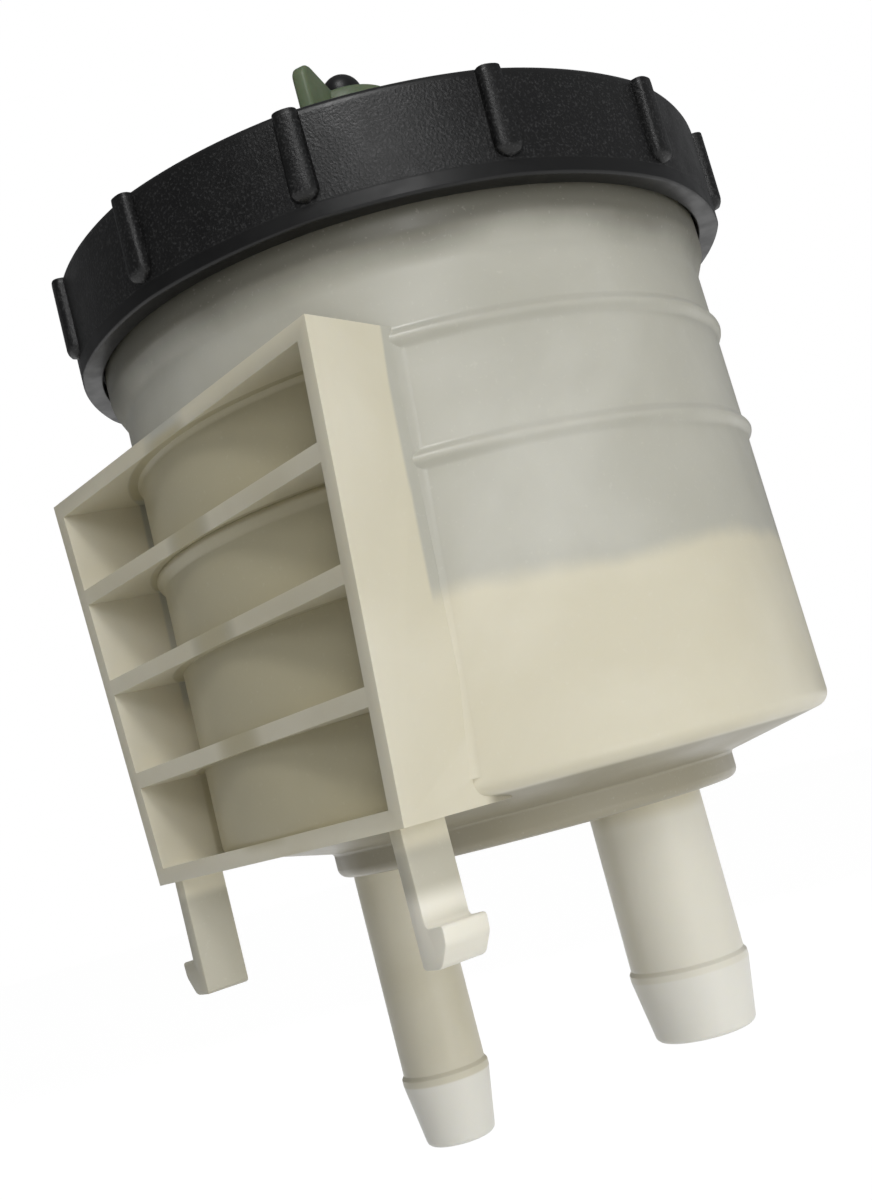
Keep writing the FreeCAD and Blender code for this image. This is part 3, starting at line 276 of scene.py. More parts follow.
class Finish:
    """A material with short ways to add nodes to it. It is kept in looks by its name."""

    def __init__(self, name, values):
        looks[name] = bpy.data.materials.new(name)
        looks[name].use_nodes = True
        self.tree = looks[name].node_tree
        self.shader = set_inputs(self.tree.nodes["Principled BSDF"], values)
        self.place = self.tree.nodes.new("ShaderNodeTexCoord").outputs["Object"]

    def link(self, value, socket):
        """Links a socket to a value of the tree, or sets it to a number or a colour."""
        if isinstance(value, (int, float)):
            socket.default_value = value
        elif isinstance(value, tuple):
            socket.default_value = (*value, 1)
        else:
            self.tree.links.new(value, socket)

    def noise(self, scale, detail=3.0, distortion=0.0):
        node = set_inputs(self.tree.nodes.new("ShaderNodeTexNoise"),
                          {"Scale": scale, "Detail": detail, "Distortion": distortion})
        self.link(self.place, node.inputs["Vector"])
        return node.outputs["Fac"]

    def math(self, operation, first, second=0.0):
        node = self.tree.nodes.new("ShaderNodeMath")
        node.operation = operation
        self.link(first, node.inputs[0])
        self.link(second, node.inputs[1])
        return node.outputs["Value"]

    def product(self, first, *others):
        """The product of masks or numbers. Of masks it is 1 only where each is 1."""
        for other in others:
            first = self.math("MULTIPLY", first, other)
        return first

    def spread(self, value, low, high, new_low=0.0, new_high=1.0):
        """Eases from one number to another while a value goes from low to high."""
        node = set_inputs(self.tree.nodes.new("ShaderNodeMapRange"),
                          {"From Min": low, "From Max": high, "To Min": new_low, "To Max": new_high})
        node.interpolation_type = "SMOOTHSTEP"
        self.link(value, node.inputs["Value"])
        return node.outputs["Result"]

    def rise(self, value, low, high, full=1.0):
        """A mask that rises from 0 to full between two places in millimetres."""
        return self.spread(value, low * MM, high * MM, 0.0, full)

    def fall(self, value, low, high):
        """A mask that falls from 1 to 0 between two places in millimetres."""
        return self.spread(value, low * MM, high * MM, 1.0, 0.0)

    def from_axis(self, name):
        """How far a point lies from the tank's origin along X, Y or Z."""
        split = self.tree.nodes.new("ShaderNodeSeparateXYZ")
        self.link(self.place, split.inputs["Vector"])
        return self.math("SUBTRACT", split.outputs[name], origin["XYZ".index(name)])

    def mix(self, factor, first, second):
        """Goes from the first colour to the second as the factor goes from 0 to 1."""
        node = self.tree.nodes.new("ShaderNodeMix")
        node.data_type = "RGBA"
        for key, value in (("Factor", factor), (6, first), (7, second)):
            self.link(value, node.inputs[key])
        return node.outputs[2]

    def bump(self, height, strength, distance):
        node = set_inputs(self.tree.nodes.new("ShaderNodeBump"), {"Strength": strength, "Distance": distance})
        self.link(height, node.inputs["Height"])
        self.link(node.outputs["Normal"], self.shader.inputs["Normal"])

    def colour(self, value):
        self.link(value, self.shader.inputs["Base Color"])

    def roughness(self, value):
        self.link(value, self.shader.inputs["Roughness"])

    def cloudy_colour(self, scale, dark, light):
        self.colour(self.mix(self.spread(self.noise(scale, 4), *CLOUD_EDGE), dark, light))

    def cloudy_roughness(self, scale, low, high):
        self.roughness(self.spread(self.noise(scale, 3), *CLOUD_EDGE, low, high))


# %% [markdown]
# ## The tank's milky plastic
# On the real tank the wall looks cream where the inner cup stands behind it and greyer above. Clear
# plastic over real inner shapes could show that, but it renders slowly and comes out grainy. So the wall
# is opaque with a little light passing under its skin, and masks by place give the tints. Masks by place
# also paint shade into the colour: dim in the bracket's cells, dark under the ring, darker on the floor,
# boss and hooks. And they paint light onto the hose stubs, so that they look whiter.

# %% Where a point lies on the tank
WALL_MIDDLE = 49.2
WALL_BAND = (1.2, 1.7)
WANDER = 0.006

natural = Finish("natural_plastic", {"Subsurface Weight": 0.12, "Subsurface Radius": (1.0, 0.85, 0.55),
                                     "Subsurface Scale": 0.002, "IOR": 1.5})
across, along, height = [natural.from_axis(name) for name in "XYZ"]
radius = natural.math("SQRT", natural.math("ADD", natural.product(across, across),
                                           natural.product(along, along)))
off_wall = natural.math("ABSOLUTE", natural.math("SUBTRACT", radius, WALL_MIDDLE * MM))
on_wall = natural.fall(off_wall, *WALL_BAND)
wander = natural.product(natural.math("SUBTRACT", natural.noise(42, 4), 0.5), WANDER)
level = natural.math("ADD", height, wander)

# %% Cream below, grey above, with painted shade in the cells and a painted shadow under the ring
CREAM = ((0.68, 0.635, 0.49), (0.76, 0.72, 0.585))
GREY = ((0.49, 0.48, 0.41), (0.60, 0.59, 0.52))
CUP_EDGE = (28.0, 31.5)
# Painted shade: the wall at the back of the bracket's cells is darkened, where shelves and side walls keep
# the light off it.
CELL_PAINTED_SHADE = (0.53, 0.485, 0.335)
CELL_SIDE = (29.5, 31.5)
CELL_BACK = (-31.0, -30.0)
CELL_TOP = (64.5, 66.0)
CELL_FLOOR = (3.0, 5.5)
# Painted shadow: the collar under the union ring is darkened, as the ring keeps the light off it.
RING_PAINTED_SHADOW = (0.135, 0.128, 0.099)
RING_SHADOW_EDGE = (73.5, 79.0)
RING_SHADOW_FULL = 0.9

over_cup = natural.rise(level, *CUP_EDGE)
cloud = natural.spread(natural.noise(26, 6, 0.5), 0.32, 0.70)
tinted = natural.mix(natural.product(on_wall, over_cup), natural.mix(cloud, *CREAM),
                     natural.mix(cloud, *GREY))
# Painted shade in the bracket's cells: this mask darkens the wall there.
cell_shade_mask = natural.product(
    natural.fall(natural.math("ABSOLUTE", across), *CELL_SIDE), natural.fall(along, *CELL_BACK),
    natural.fall(height, *CELL_TOP), natural.rise(height, *CELL_FLOOR), on_wall)
tinted = natural.mix(cell_shade_mask, tinted, CELL_PAINTED_SHADE)
# Painted shadow on the collar under the ring.
tinted = natural.mix(natural.rise(level, *RING_SHADOW_EDGE, RING_SHADOW_FULL), tinted, RING_PAINTED_SHADOW)

# %% Painted shade on the floor, boss and hooks, and painted light on the stubs
# Painted shade: the tank's downward-facing floor cone and boss are darkened, as they face away from the
# lamps.
FLOOR_PAINTED_SHADE = (0.36, 0.33, 0.245)
BOSS_FACE = (-4.6, -4.1)
FLOOR_CORNER = (3.6, 4.4)
FLOOR_RIM = (46.0, 48.0)
# Painted shade: the hooks are darkened, as they hang in the bracket's shade.
HOOK_PAINTED_SHADE = (0.52, 0.495, 0.40)
HOOK_ROOT = (-1.5, 0.5)
HOOKS_FROM = (46.5, 48.0)
# Painted light: the suction stub is lightened, as more light reaches it than the return stub.
SUCTION_PAINTED_LIGHT = (0.86, 0.83, 0.72)
SUCTION_SIDE = (-6.0, -4.0)
STUB_ROOT = (-8.0, -5.0)
# Partly real, partly painted light: the stubs' thinner ends are a little paler, and the rest of their
# lightening is painted light.
TIP_PAINTED_LIGHT = (0.88, 0.86, 0.78)
TIP_EDGE = (-32.0, -31.6)
RETURN_LONGER = 7.0

# Painted shade on the floor cone and boss.
floor_shade_mask = natural.product(natural.rise(height, *BOSS_FACE), natural.fall(height, *FLOOR_CORNER),
                             natural.fall(radius, *FLOOR_RIM))
tinted = natural.mix(floor_shade_mask, tinted, FLOOR_PAINTED_SHADE)
# Painted shade on the hooks.
hook_shade_mask = natural.product(natural.fall(height, *HOOK_ROOT), natural.rise(radius, *HOOKS_FROM))
tinted = natural.mix(hook_shade_mask, tinted, HOOK_PAINTED_SHADE)
on_suction = natural.rise(across, *SUCTION_SIDE)
# Painted light on the suction stub.
suction_light_mask = natural.product(natural.fall(height, *STUB_ROOT), on_suction)
tinted = natural.mix(suction_light_mask, tinted, SUCTION_PAINTED_LIGHT)
# Painted light, partly real, on the stub ends; the return stub's line lies lower.
longer = natural.product(natural.math("SUBTRACT", 1.0, on_suction), RETURN_LONGER * MM)
tinted = natural.mix(natural.fall(natural.math("ADD", height, longer), *TIP_EDGE), tinted, TIP_PAINTED_LIGHT)

# %% Specks, uneven gloss and soft ripples
SPECK = (0.80, 0.79, 0.70)
SPECK_SHARE = 0.12
NATURAL_GLOSS = (0.30, 0.44)
FINE_RIPPLE = 0.10
RIPPLE_STRENGTH = 0.16
RIPPLE_DEPTH = 0.0010

speck = natural.spread(natural.noise(1500, 2), 0.62, 0.78, 0.0, SPECK_SHARE)
natural.colour(natural.mix(speck, tinted, SPECK))
natural.roughness(natural.spread(natural.noise(120, 5, 0.3), 0.25, 0.75, *NATURAL_GLOSS))
fine = natural.product(natural.noise(420, 3), FINE_RIPPLE)
natural.bump(natural.math("ADD", natural.noise(60, 2, 0.2), fine), RIPPLE_STRENGTH, RIPPLE_DEPTH)
print("natural plastic:", len(natural.tree.nodes), "nodes")

# %% [markdown]
# ## The ring's grained black plastic
# The union ring's band is spark-grained: tiny pits that scatter its sheen into light flecks, while its
# foot and top face are smooth. One fine noise drives both the pits and the flecks, and two masks by
# height keep it on the band. The flecks are painted glints: a lighter colour on the grain that stands
# in for the scattered sheen.

# %% The grained black plastic of the union ring
GRAIN_LOW = 83.8
GRAIN_TOP = 96.3
GRAIN_EDGE = 0.4
GRAIN_STRENGTH = 0.5
GRAIN_DEPTH = 0.00016
BLACK = (0.002, 0.002, 0.002)
# Painted glints: a lighter colour on the grain's peaks that stands in for the sheen they scatter.
PAINTED_GLINT = (0.026, 0.026, 0.026)
BLACK_GLOSS = (0.34, 0.44)

black = Finish("black_plastic", {"Specular IOR Level": 0.42})
height = black.from_axis("Z")
grained = black.product(black.rise(height, GRAIN_LOW, GRAIN_LOW + GRAIN_EDGE),
                        black.fall(height, GRAIN_TOP, GRAIN_TOP + GRAIN_EDGE))
grain = black.noise(2600, 4)
# The grain's flecks are painted glints.
black.colour(black.mix(black.product(black.spread(grain, 0.50, 0.72), grained), BLACK, PAINTED_GLINT))
black.cloudy_roughness(260, *BLACK_GLOSS)
black.bump(black.product(grain, grained), GRAIN_STRENGTH, GRAIN_DEPTH)
print("black plastic:", len(black.tree.nodes), "nodes")

# %% [markdown]
# ## The other finishes
# Cover and cap are one green plastic, a little cloudy and duller than the ring. The inner pieces are
# rubber, plain plastics, paper and metal. They differ in numbers only, so one loop makes the plastics
# and one the metals.

# %% The green plastic of cover and cap
GREEN = ((0.092, 0.125, 0.066), (0.135, 0.175, 0.095))
GREEN_GLOSS = (0.42, 0.6)
SOFT_STRENGTH = 0.15
SOFT_DEPTH = 0.0002

green = Finish("green_plastic", {"Subsurface Weight": 0.10, "Subsurface Scale": 0.001})
green.cloudy_colour(180, *GREEN)
green.cloudy_roughness(320, *GREEN_GLOSS)
green.bump(green.noise(700, 3), SOFT_STRENGTH, SOFT_DEPTH)

# %% Plain finishes for the inner pieces
for name, dark, light, rough, grain_scale in (
    ("black_rubber", (0.016, 0.016, 0.016), (0.03, 0.03, 0.03), 0.7, 1400),
    ("cream_plastic", (0.62, 0.55, 0.36), (0.70, 0.64, 0.46), 0.45, 500),
    ("white_plastic", (0.66, 0.66, 0.63), (0.76, 0.76, 0.73), 0.4, 600),
    ("filter_paper", (0.46, 0.36, 0.18), (0.58, 0.47, 0.27), 0.85, 2200),
):
    plastic = Finish(name, {"Roughness": rough})
    plastic.cloudy_colour(90, dark, light)
    plastic.bump(plastic.noise(grain_scale, 3), SOFT_STRENGTH, SOFT_DEPTH)

for name, dark, light, rough, grain_scale in (
    ("pressed_steel", (0.42, 0.42, 0.43), (0.56, 0.56, 0.57), 0.32, 700),
    ("spring_steel", (0.26, 0.26, 0.28), (0.38, 0.38, 0.40), 0.28, 1200),
    ("steel_mesh", (0.36, 0.36, 0.37), (0.50, 0.50, 0.50), 0.38, 1800),
):
    metal = Finish(name, {"Roughness": rough, "Metallic": 1.0})
    metal.cloudy_colour(140, dark, light)
    metal.cloudy_roughness(grain_scale, rough - 0.08, rough + 0.1)
print("finishes:", ", ".join(sorted(looks)))

# %% [markdown]
# ## Tools for the meshes
# Most pieces are turned: one outline goes round the axis. An outline is written as its corners, each
# with its own round, and the helper puts the arcs in. What isn't turned is cut from flat-sided solids
# whose edges a Bevel modifier rounds, and pieces are joined by the Boolean modifier.

# %% Outline helper
ARC_STEPS = 6
TURN_STEPS = 240


def rounded(corners, steps=ARC_STEPS):
    """The points of a closed outline. A corner is (x, z) or (x, z, round)."""
    points = []
    for index, corner in enumerate(corners):
        here = Vector(corner[:2])
        bend = corner[2] if len(corner) > 2 else 0
        if not bend:
            points.append(here)
            continue
        before = Vector(corners[index - 1][:2]) - here
        after = Vector(corners[(index + 1) % len(corners)][:2]) - here
        half = before.angle(after) / 2
        reach = min(bend / math.tan(half), before.length * 0.49, after.length * 0.49)
        bend = reach * math.tan(half)
        middle = here + (before.normalized() + after.normalized()).normalized() * (bend / math.sin(half))
        start = here + before.normalized() * reach - middle
        end = here + after.normalized() * reach - middle
        sweep = start.angle_signed(end)
        for step in range(steps + 1):
            spin = Matrix.Rotation(-sweep * step / steps, 2)
            points.append(middle + spin @ start)
    return points


# %% Turned, pushed and flat-sided solids
def new_piece(name, build, look):
    """An object at the origin with the mesh that was built and this finish."""
    bmesh.ops.recalc_face_normals(build, faces=build.faces)
    mesh = bpy.data.meshes.new(name)
    build.to_mesh(mesh)
    build.free()
    mesh.materials.append(looks[look])
    return add_object(name, mesh)


def turned(name, corners, place=(0.0, 0.0), steps=TURN_STEPS, look="natural_plastic"):
    """A solid of revolution about an upright axis, from a closed outline in millimetres."""
    build = bmesh.new()
    rings = []
    for point in rounded(corners):
        if abs(point.x) < 1e-6:
            rings.append([build.verts.new((place[0], place[1], point.y))] * steps)
            continue
        rings.append([build.verts.new((place[0] + point.x * math.cos(math.tau * step / steps),
                                       place[1] + point.x * math.sin(math.tau * step / steps),
                                       point.y)) for step in range(steps)])
    for ring, following in zip(rings, rings[1:] + rings[:1]):
        if ring[0] is ring[1] and following[0] is following[1]:
            continue
        for step in range(steps):
            after = (step + 1) % steps
            face = []
            for vertex in (ring[step], ring[after], following[after], following[step]):
                if vertex not in face:
                    face.append(vertex)
            build.faces.new(face)
    return new_piece(name, build, look)


def between(name, low_section, high_section, look="natural_plastic"):
    """A solid with flat or gently twisted sides between two outlines of as many (x, y, z) points."""
    build = bmesh.new()
    low = [build.verts.new(point) for point in low_section]
    high = [build.verts.new(point) for point in high_section]
    build.faces.new(low)
    build.faces.new(list(reversed(high)))
    for index in range(len(low)):
        after = (index + 1) % len(low)
        build.faces.new((low[after], low[index], high[index], high[after]))
    return new_piece(name, build, look)


def pushed(name, points, front, rear, look="natural_plastic"):
    """A flat upright piece: an outline of (x, z) points pushed through a depth along Y."""
    return between(name, [(x, front, z) for x, z in points], [(x, rear, z) for x, z in points], look)


def swept(name, sections, look="natural_plastic"):
    """A closed solid through a row of like outlines, with its two ends closed."""
    build = bmesh.new()
    rows = [[build.verts.new(point) for point in section] for section in sections]
    for row, following in zip(rows, rows[1:]):
        for index in range(len(row)):
            after = (index + 1) % len(row)
            build.faces.new((row[index], row[after], following[after], following[index]))
    build.faces.new(rows[0])
    build.faces.new(list(reversed(rows[-1])))
    return new_piece(name, build, look)


# %% Modifier helpers
def apply_all(item):
    """Replaces an object's mesh by the result of its modifiers."""
    graph = bpy.context.evaluated_depsgraph_get()
    mesh = bpy.data.meshes.new_from_object(item.evaluated_get(graph))
    item.modifiers.clear()
    old = item.data
    item.data = mesh
    bpy.data.meshes.remove(old)
    return item


def combine(item, others, operation):
    """Joins the other solids to the item, or cuts them out of it, and removes them."""
    for other in others:
        step = item.modifiers.new("combine", "BOOLEAN")
        step.operation = operation
        step.solver = "EXACT"
        step.object = other
        apply_all(item)
        mesh = other.data
        bpy.data.objects.remove(other)
        bpy.data.meshes.remove(mesh)


def soften(item, width, steps=3, limit=30):
    """Rounds every edge that is sharper than the limit."""
    step = item.modifiers.new("soften", "BEVEL")
    step.width = width
    step.segments = steps
    step.limit_method = "ANGLE"
    step.angle_limit = math.radians(limit)
    return apply_all(item)


def finish_piece(item, body, node, smooth=30):
    """Shades a piece smoothly, moves it to its place, and says what it rides on and replaces."""
    item.data.shade_smooth()
    item.data.set_sharp_from_angle(angle=math.radians(smooth))
    to_frame(item.data)
    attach(item, body)
    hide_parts(node)
    print(item.name, len(item.data.polygons), "faces")


# %% [markdown]
# ## Node trees for what repeats
# Ribs, pleats and spring coils repeat by a rule, so Geometry Nodes make them. The first tree sets
# copies of one shape evenly round the axis. The second winds a round wire into a coil. Each has its
# sizes as named inputs, so one tree serves several pieces.


# %% Build and run a node tree
def new_tree(name, inputs):
    """An empty node tree with a geometry input and the named inputs (name, kind)."""
    group = bpy.data.node_groups.new(name, "GeometryNodeTree")
    group.interface.new_socket("Geometry", in_out="INPUT", socket_type="NodeSocketGeometry")
    for label, kind in inputs:
        group.interface.new_socket(label, in_out="INPUT", socket_type=f"NodeSocket{kind}")
    group.interface.new_socket("Geometry", in_out="OUTPUT", socket_type="NodeSocketGeometry")
    return group


def run_tree(item, group, values):
    """Runs a tree on an object with values for its named inputs, and keeps the plain mesh."""
    step = item.modifiers.new(group.name, "NODES")
    step.node_group = group
    for socket in group.interface.items_tree:
        if socket.in_out == "INPUT" and socket.name in values:
            step[socket.identifier] = values[socket.name]
    return apply_all(item)


def end_tree(group, geometry, source):
    """Ends a tree: real geometry with its finish."""
    real = group.nodes.new("GeometryNodeRealizeInstances")
    dress = group.nodes.new("GeometryNodeSetMaterial")
    result = group.nodes.new("NodeGroupOutput")
    connect(group, (geometry, real.inputs["Geometry"]), (real.outputs["Geometry"], dress.inputs["Geometry"]),
            (source.outputs["Finish"], dress.inputs["Material"]),
            (dress.outputs["Geometry"], result.inputs["Geometry"]))


# %% Copies round the axis
around = new_tree("copies_round_the_axis",
                  [("Count", "Int"), ("Start Angle", "Float"), ("Finish", "Material")])
source = around.nodes.new("NodeGroupInput")
spots = around.nodes.new("GeometryNodePoints")
order = around.nodes.new("GeometryNodeInputIndex")
whole = set_inputs(around.nodes.new("ShaderNodeMath"), {0: math.tau})
whole.operation = "DIVIDE"
times = around.nodes.new("ShaderNodeMath")
times.operation = "MULTIPLY_ADD"
spin = set_inputs(around.nodes.new("FunctionNodeAxisAngleToRotation"), {"Axis": (0, 0, 1)})
copies = around.nodes.new("GeometryNodeInstanceOnPoints")
connect(around, (source.outputs["Count"], spots.inputs["Count"]), (source.outputs["Count"], whole.inputs[1]),
        (order.outputs["Index"], times.inputs[0]), (whole.outputs["Value"], times.inputs[1]),
        (source.outputs["Start Angle"], times.inputs[2]), (times.outputs["Value"], spin.inputs["Angle"]),
        (spots.outputs["Points"], copies.inputs["Points"]),
        (source.outputs["Geometry"], copies.inputs["Instance"]),
        (spin.outputs["Rotation"], copies.inputs["Rotation"]))
end_tree(around, copies.outputs["Instances"], source)


def copy_around(item, count, start):
    """Sets copies of a piece evenly about the tank's axis, the first turned by start degrees."""
    return run_tree(item, around, {"Count": count, "Start Angle": math.radians(start),
                                   "Finish": item.data.materials[0]})


# %% Round wire wound into a coil
WIRE_SIDES = 12
coil = new_tree("wire_coil", [("Radius", "Float"), ("Wire", "Float"), ("Turns", "Float"),
                              ("Height", "Float"), ("Steps", "Int"), ("Finish", "Material")])
source = coil.nodes.new("NodeGroupInput")
spiral = coil.nodes.new("GeometryNodeCurveSpiral")
section = set_inputs(coil.nodes.new("GeometryNodeCurvePrimitiveCircle"), {"Resolution": WIRE_SIDES})
wire = set_inputs(coil.nodes.new("GeometryNodeCurveToMesh"), {"Fill Caps": True})
for name, socket in (("Radius", "Start Radius"), ("Radius", "End Radius"), ("Turns", "Rotations"),
                     ("Height", "Height"), ("Steps", "Resolution")):
    coil.links.new(source.outputs[name], spiral.inputs[socket])
connect(coil, (source.outputs["Wire"], section.inputs["Radius"]),
        (spiral.outputs["Curve"], wire.inputs["Curve"]),
        (section.outputs["Curve"], wire.inputs["Profile Curve"]))
end_tree(coil, wire.outputs["Mesh"], source)
print("node trees:", ", ".join(group.name for group in bpy.data.node_groups))

# %% [markdown]
# ## The tank's round body
# The body is one turned wall with two level beads, a collar under the union ring and a threaded neck.
# Below, a shallow cone runs in to a round boss that carries the hose stubs. A turned outline gives all
# of that at once, and its small rounds catch the light along the lower corner as the real one does.

# %% The tank's outline
TANK_WALL = 2.4
LOW_RADIUS = 49.4
HIGH_RADIUS = 48.5
CORNER_HEIGHT = 4.6
FLOOR = 2.8
BOSS_RADIUS = 32.8
BOSS_DEPTH = 4.0
BEAD_PROUD = 0.9
BEAD_HALF = 1.7
BEAD_STEPS = 6
BEADS = (48.0, 64.8)
COLLAR_RADIUS = 50.2
COLLAR_LOW = 74.6
COLLAR_TOP = 83.0
NECK_RADIUS = 48.2
RIM = 91.0
NECK_INSIDE = NECK_RADIUS - TANK_WALL
SUMP_FLOOR = FLOOR - BOSS_DEPTH
SUMP_RADIUS = BOSS_RADIUS - FLOOR


def wall_radius(height):
    """The tank wall's outside radius at a height."""
    share = (height - CORNER_HEIGHT) / (COLLAR_LOW - CORNER_HEIGHT)
    return LOW_RADIUS + (HIGH_RADIUS - LOW_RADIUS) * share


def bead_points(height):
    """A level bead: a soft hump whose feet run smoothly into the wall."""
    points = []
    for step in range(-BEAD_STEPS, BEAD_STEPS + 1):
        part = step / BEAD_STEPS
        lift = height + part * BEAD_HALF
        points.append((wall_radius(lift) + BEAD_PROUD * (0.5 + 0.5 * math.cos(math.pi * part)), lift))
    return points


def wall_points(*levels):
    """Points up the plain wall at these heights, which keep its long faces short."""
    return [(wall_radius(level), level) for level in levels]


tank = turned("tank_body_moulding", [
    (0, RIM), (0, -BOSS_DEPTH),
    (BOSS_RADIUS, -BOSS_DEPTH, 1.5), (BOSS_RADIUS, 0, 0.6),
    (LOW_RADIUS, CORNER_HEIGHT - 1.0, 2.4),
    *wall_points(*range(8, 46, 3)), *bead_points(BEADS[0]),
    *wall_points(53, 56, 59), *bead_points(BEADS[1]),
    (HIGH_RADIUS, COLLAR_LOW, 4.0), (COLLAR_RADIUS, COLLAR_LOW + 3.6, 2.5),
    (COLLAR_RADIUS, COLLAR_TOP, 0.4), (NECK_RADIUS, COLLAR_TOP, 0.3),
    (NECK_RADIUS, RIM, 0.6),
])
print("tank turned:", len(tank.data.vertices), "points")

# %% [markdown]
# ## The snap bracket
# The bracket is a tapered box with four cells open to the front. Its side walls lean inwards towards
# the tank, and its back is the tank's own round wall. A flat-sided block with four flat-sided
# cutters gives clean long edges, which the bevel rounds as a mould does.

# %% Cut the bracket
BRACKET_FRONT = 50.4
BRACKET_BACK = 31.0
BRACKET_LOW = 2.2
SHELF_PITCH = 15.45
SHELF = 2.5
SIDE_WALL = 2.5
FRONT_HALF = (32.9, 39.3)
BACK_HALF = (31.4, 34.6)
CELLS = 4
BRACKET_HEIGHT = SHELF + CELLS * SHELF_PITCH
BRACKET_TOP = BRACKET_LOW + BRACKET_HEIGHT


def half_width(depth, level):
    """Half of the bracket's width at a distance in front of the axis and a height."""
    share = (level - BRACKET_LOW) / BRACKET_HEIGHT
    front = FRONT_HALF[0] + (FRONT_HALF[1] - FRONT_HALF[0]) * share
    rear = BACK_HALF[0] + (BACK_HALF[1] - BACK_HALF[0]) * share
    return rear + (front - rear) * (depth - BRACKET_BACK) / (BRACKET_FRONT - BRACKET_BACK)


def level_section(level, inset, beyond=0.0):
    """A level section of the bracket, drawn in by an inset and pushed out at front and back."""
    front = BRACKET_FRONT + beyond
    rear = BRACKET_BACK - beyond
    wide = half_width(front, level) - inset
    narrow = half_width(rear, level) - inset
    return [(-wide, -front, level), (wide, -front, level), (narrow, -rear, level), (-narrow, -rear, level)]


bracket = between("bracket", level_section(BRACKET_LOW, 0), level_section(BRACKET_TOP, 0))
cells = []
for number in range(CELLS):
    low = BRACKET_LOW + SHELF + number * SHELF_PITCH
    high = low + SHELF_PITCH - SHELF
    cells.append(between(f"cell_{number}", level_section(low, SIDE_WALL, 1),
                         level_section(high, SIDE_WALL, 1)))
combine(bracket, cells, "DIFFERENCE")
soften(bracket, 0.5)
print("bracket:", len(bracket.data.polygons), "faces")

# %% [markdown]
# ## The snap hooks
# Two tongues hang below the bracket. Each ends in a barb that snaps behind an edge on the vehicle, so
# it is drawn as an outline seen from the front and pushed through its depth. The rounds are in the
# outline, and a small bevel takes the edge off the flat faces.

# %% The snap hooks
HOOK_FACE = FRONT_HALF[0] - SIDE_WALL
HOOK_THICKNESS = 2.6
HOOK_ROOT_LEVEL = BRACKET_LOW + SHELF / 2
HOOK_END = -15.5
HOOK_BACK = 41.8
HOOK_FRONT = 49.2


def hook(side):
    """One hook: a tongue with a barb that faces outwards and a rounded foot."""
    corners = [
        (HOOK_FACE - HOOK_THICKNESS, HOOK_ROOT_LEVEL),
        (HOOK_FACE - HOOK_THICKNESS, HOOK_END, 0.6),
        (HOOK_FACE + 1.2, HOOK_END, 1.6),
        (HOOK_FACE + 3.2, -12.6, 2.0),
        (HOOK_FACE + 3.4, -10.2, 0.5),
        (HOOK_FACE, -10.4, 0.6),
        (HOOK_FACE, HOOK_ROOT_LEVEL),
    ]
    points = [(side * point.x, point.y) for point in rounded(corners, 4)]
    return soften(pushed(f"hook_{side}", points, -HOOK_FRONT, -HOOK_BACK), 0.3, 2, 50)


hooks = [hook(side) for side in (-1, 1)]
print("hooks:", len(hooks))

# %% [markdown]
# ## Fillets where the bracket meets the tank
# A mould has no sharp inner corners. Along each seam between a side wall and the round tank runs a
# small hollow fillet, which shows as a thin bright line. It follows the seam, so its section is
# worked out level by level and swept.

# %% Fillets along the seams
FILLET = 1.3
FILLET_LOW = CORNER_HEIGHT + 1.2
FILLET_TOP = BRACKET_TOP - 0.6
FILLET_STEPS = 40
FILLET_ARC = 6
FILLET_SUNK = 0.4
SEAM_ROUNDS = 12


def seam(side, level):
    """Where the bracket's side wall meets the tank's wall at a height, and the two ways out of it."""
    radius = wall_radius(level)
    depth = BRACKET_BACK
    for _ in range(SEAM_ROUNDS):
        depth = math.sqrt(radius ** 2 - half_width(depth, level) ** 2)
    spot = Vector((side * half_width(depth, level), -depth, level))
    ahead = Vector((side * half_width(depth + 1, level), -depth - 1, level))
    forward = (ahead - spot).normalized()
    round_way = Vector((-spot.y * side, spot.x * side, 0)).normalized()
    return spot, forward, round_way


def fillet(side):
    """A hollow fillet along one seam of the bracket."""
    sections = []
    for step in range(FILLET_STEPS + 1):
        level = FILLET_LOW + (FILLET_TOP - FILLET_LOW) * step / FILLET_STEPS
        spot, forward, round_way = seam(side, level)
        arc = []
        for part in range(FILLET_ARC + 1):
            turn_by = math.pi / 2 * part / FILLET_ARC
            ahead = forward * FILLET * (1 - math.sin(turn_by))
            arc.append(spot + ahead + round_way * FILLET * (1 - math.cos(turn_by)))
        inner = spot - (forward + round_way) * FILLET_SUNK
        sections.append([inner, *arc])
    return swept(f"fillet_{side}", sections)


fillets = [fillet(side) for side in (-1, 1)]
print("fillets:", len(fillets))

# %% [markdown]
# ## The hose stubs
# A hose is pushed over each stub's tapered end and grips behind the low land where the taper starts.
# Both are one outline with other numbers, turned about their own places in the boss. Their bores are
# cut out last, together with the tank's inner room.

# %% The hose stubs
SUCTION_PLACE = (9.80, 14.70)
SUCTION_END = 41.8
RETURN_PLACE = (-19.60, -15.59)
RETURN_END = 48.75
TAPER = 10.0
LAND = 0.4
STUB_SUNK = -2.5
STUB_STEPS = 96
BORE_STEPS = 64


def stub(name, place, radius, end, root):
    """A hose stub with a rounded root and a stepped, tapered end."""
    step = TAPER - end
    return turned(name, [
        (0, STUB_SUNK), (radius + root, STUB_SUNK), (radius + root, -BOSS_DEPTH + 0.02),
        (radius, -BOSS_DEPTH, root), (radius, step + 1.6, 0.3), (radius + LAND, step + 1.0, 0.3),
        (radius + LAND, step, 0.3), (radius - 1.2, -end, 1.0), (0, -end),
    ], place, STUB_STEPS)


def bore(name, place, radius, end):
    """The cutter for a stub's bore."""
    top = FLOOR + 1
    return turned(name, [(0, top), (0, -end - 1), (radius, -end - 1), (radius, top)], place, BORE_STEPS)


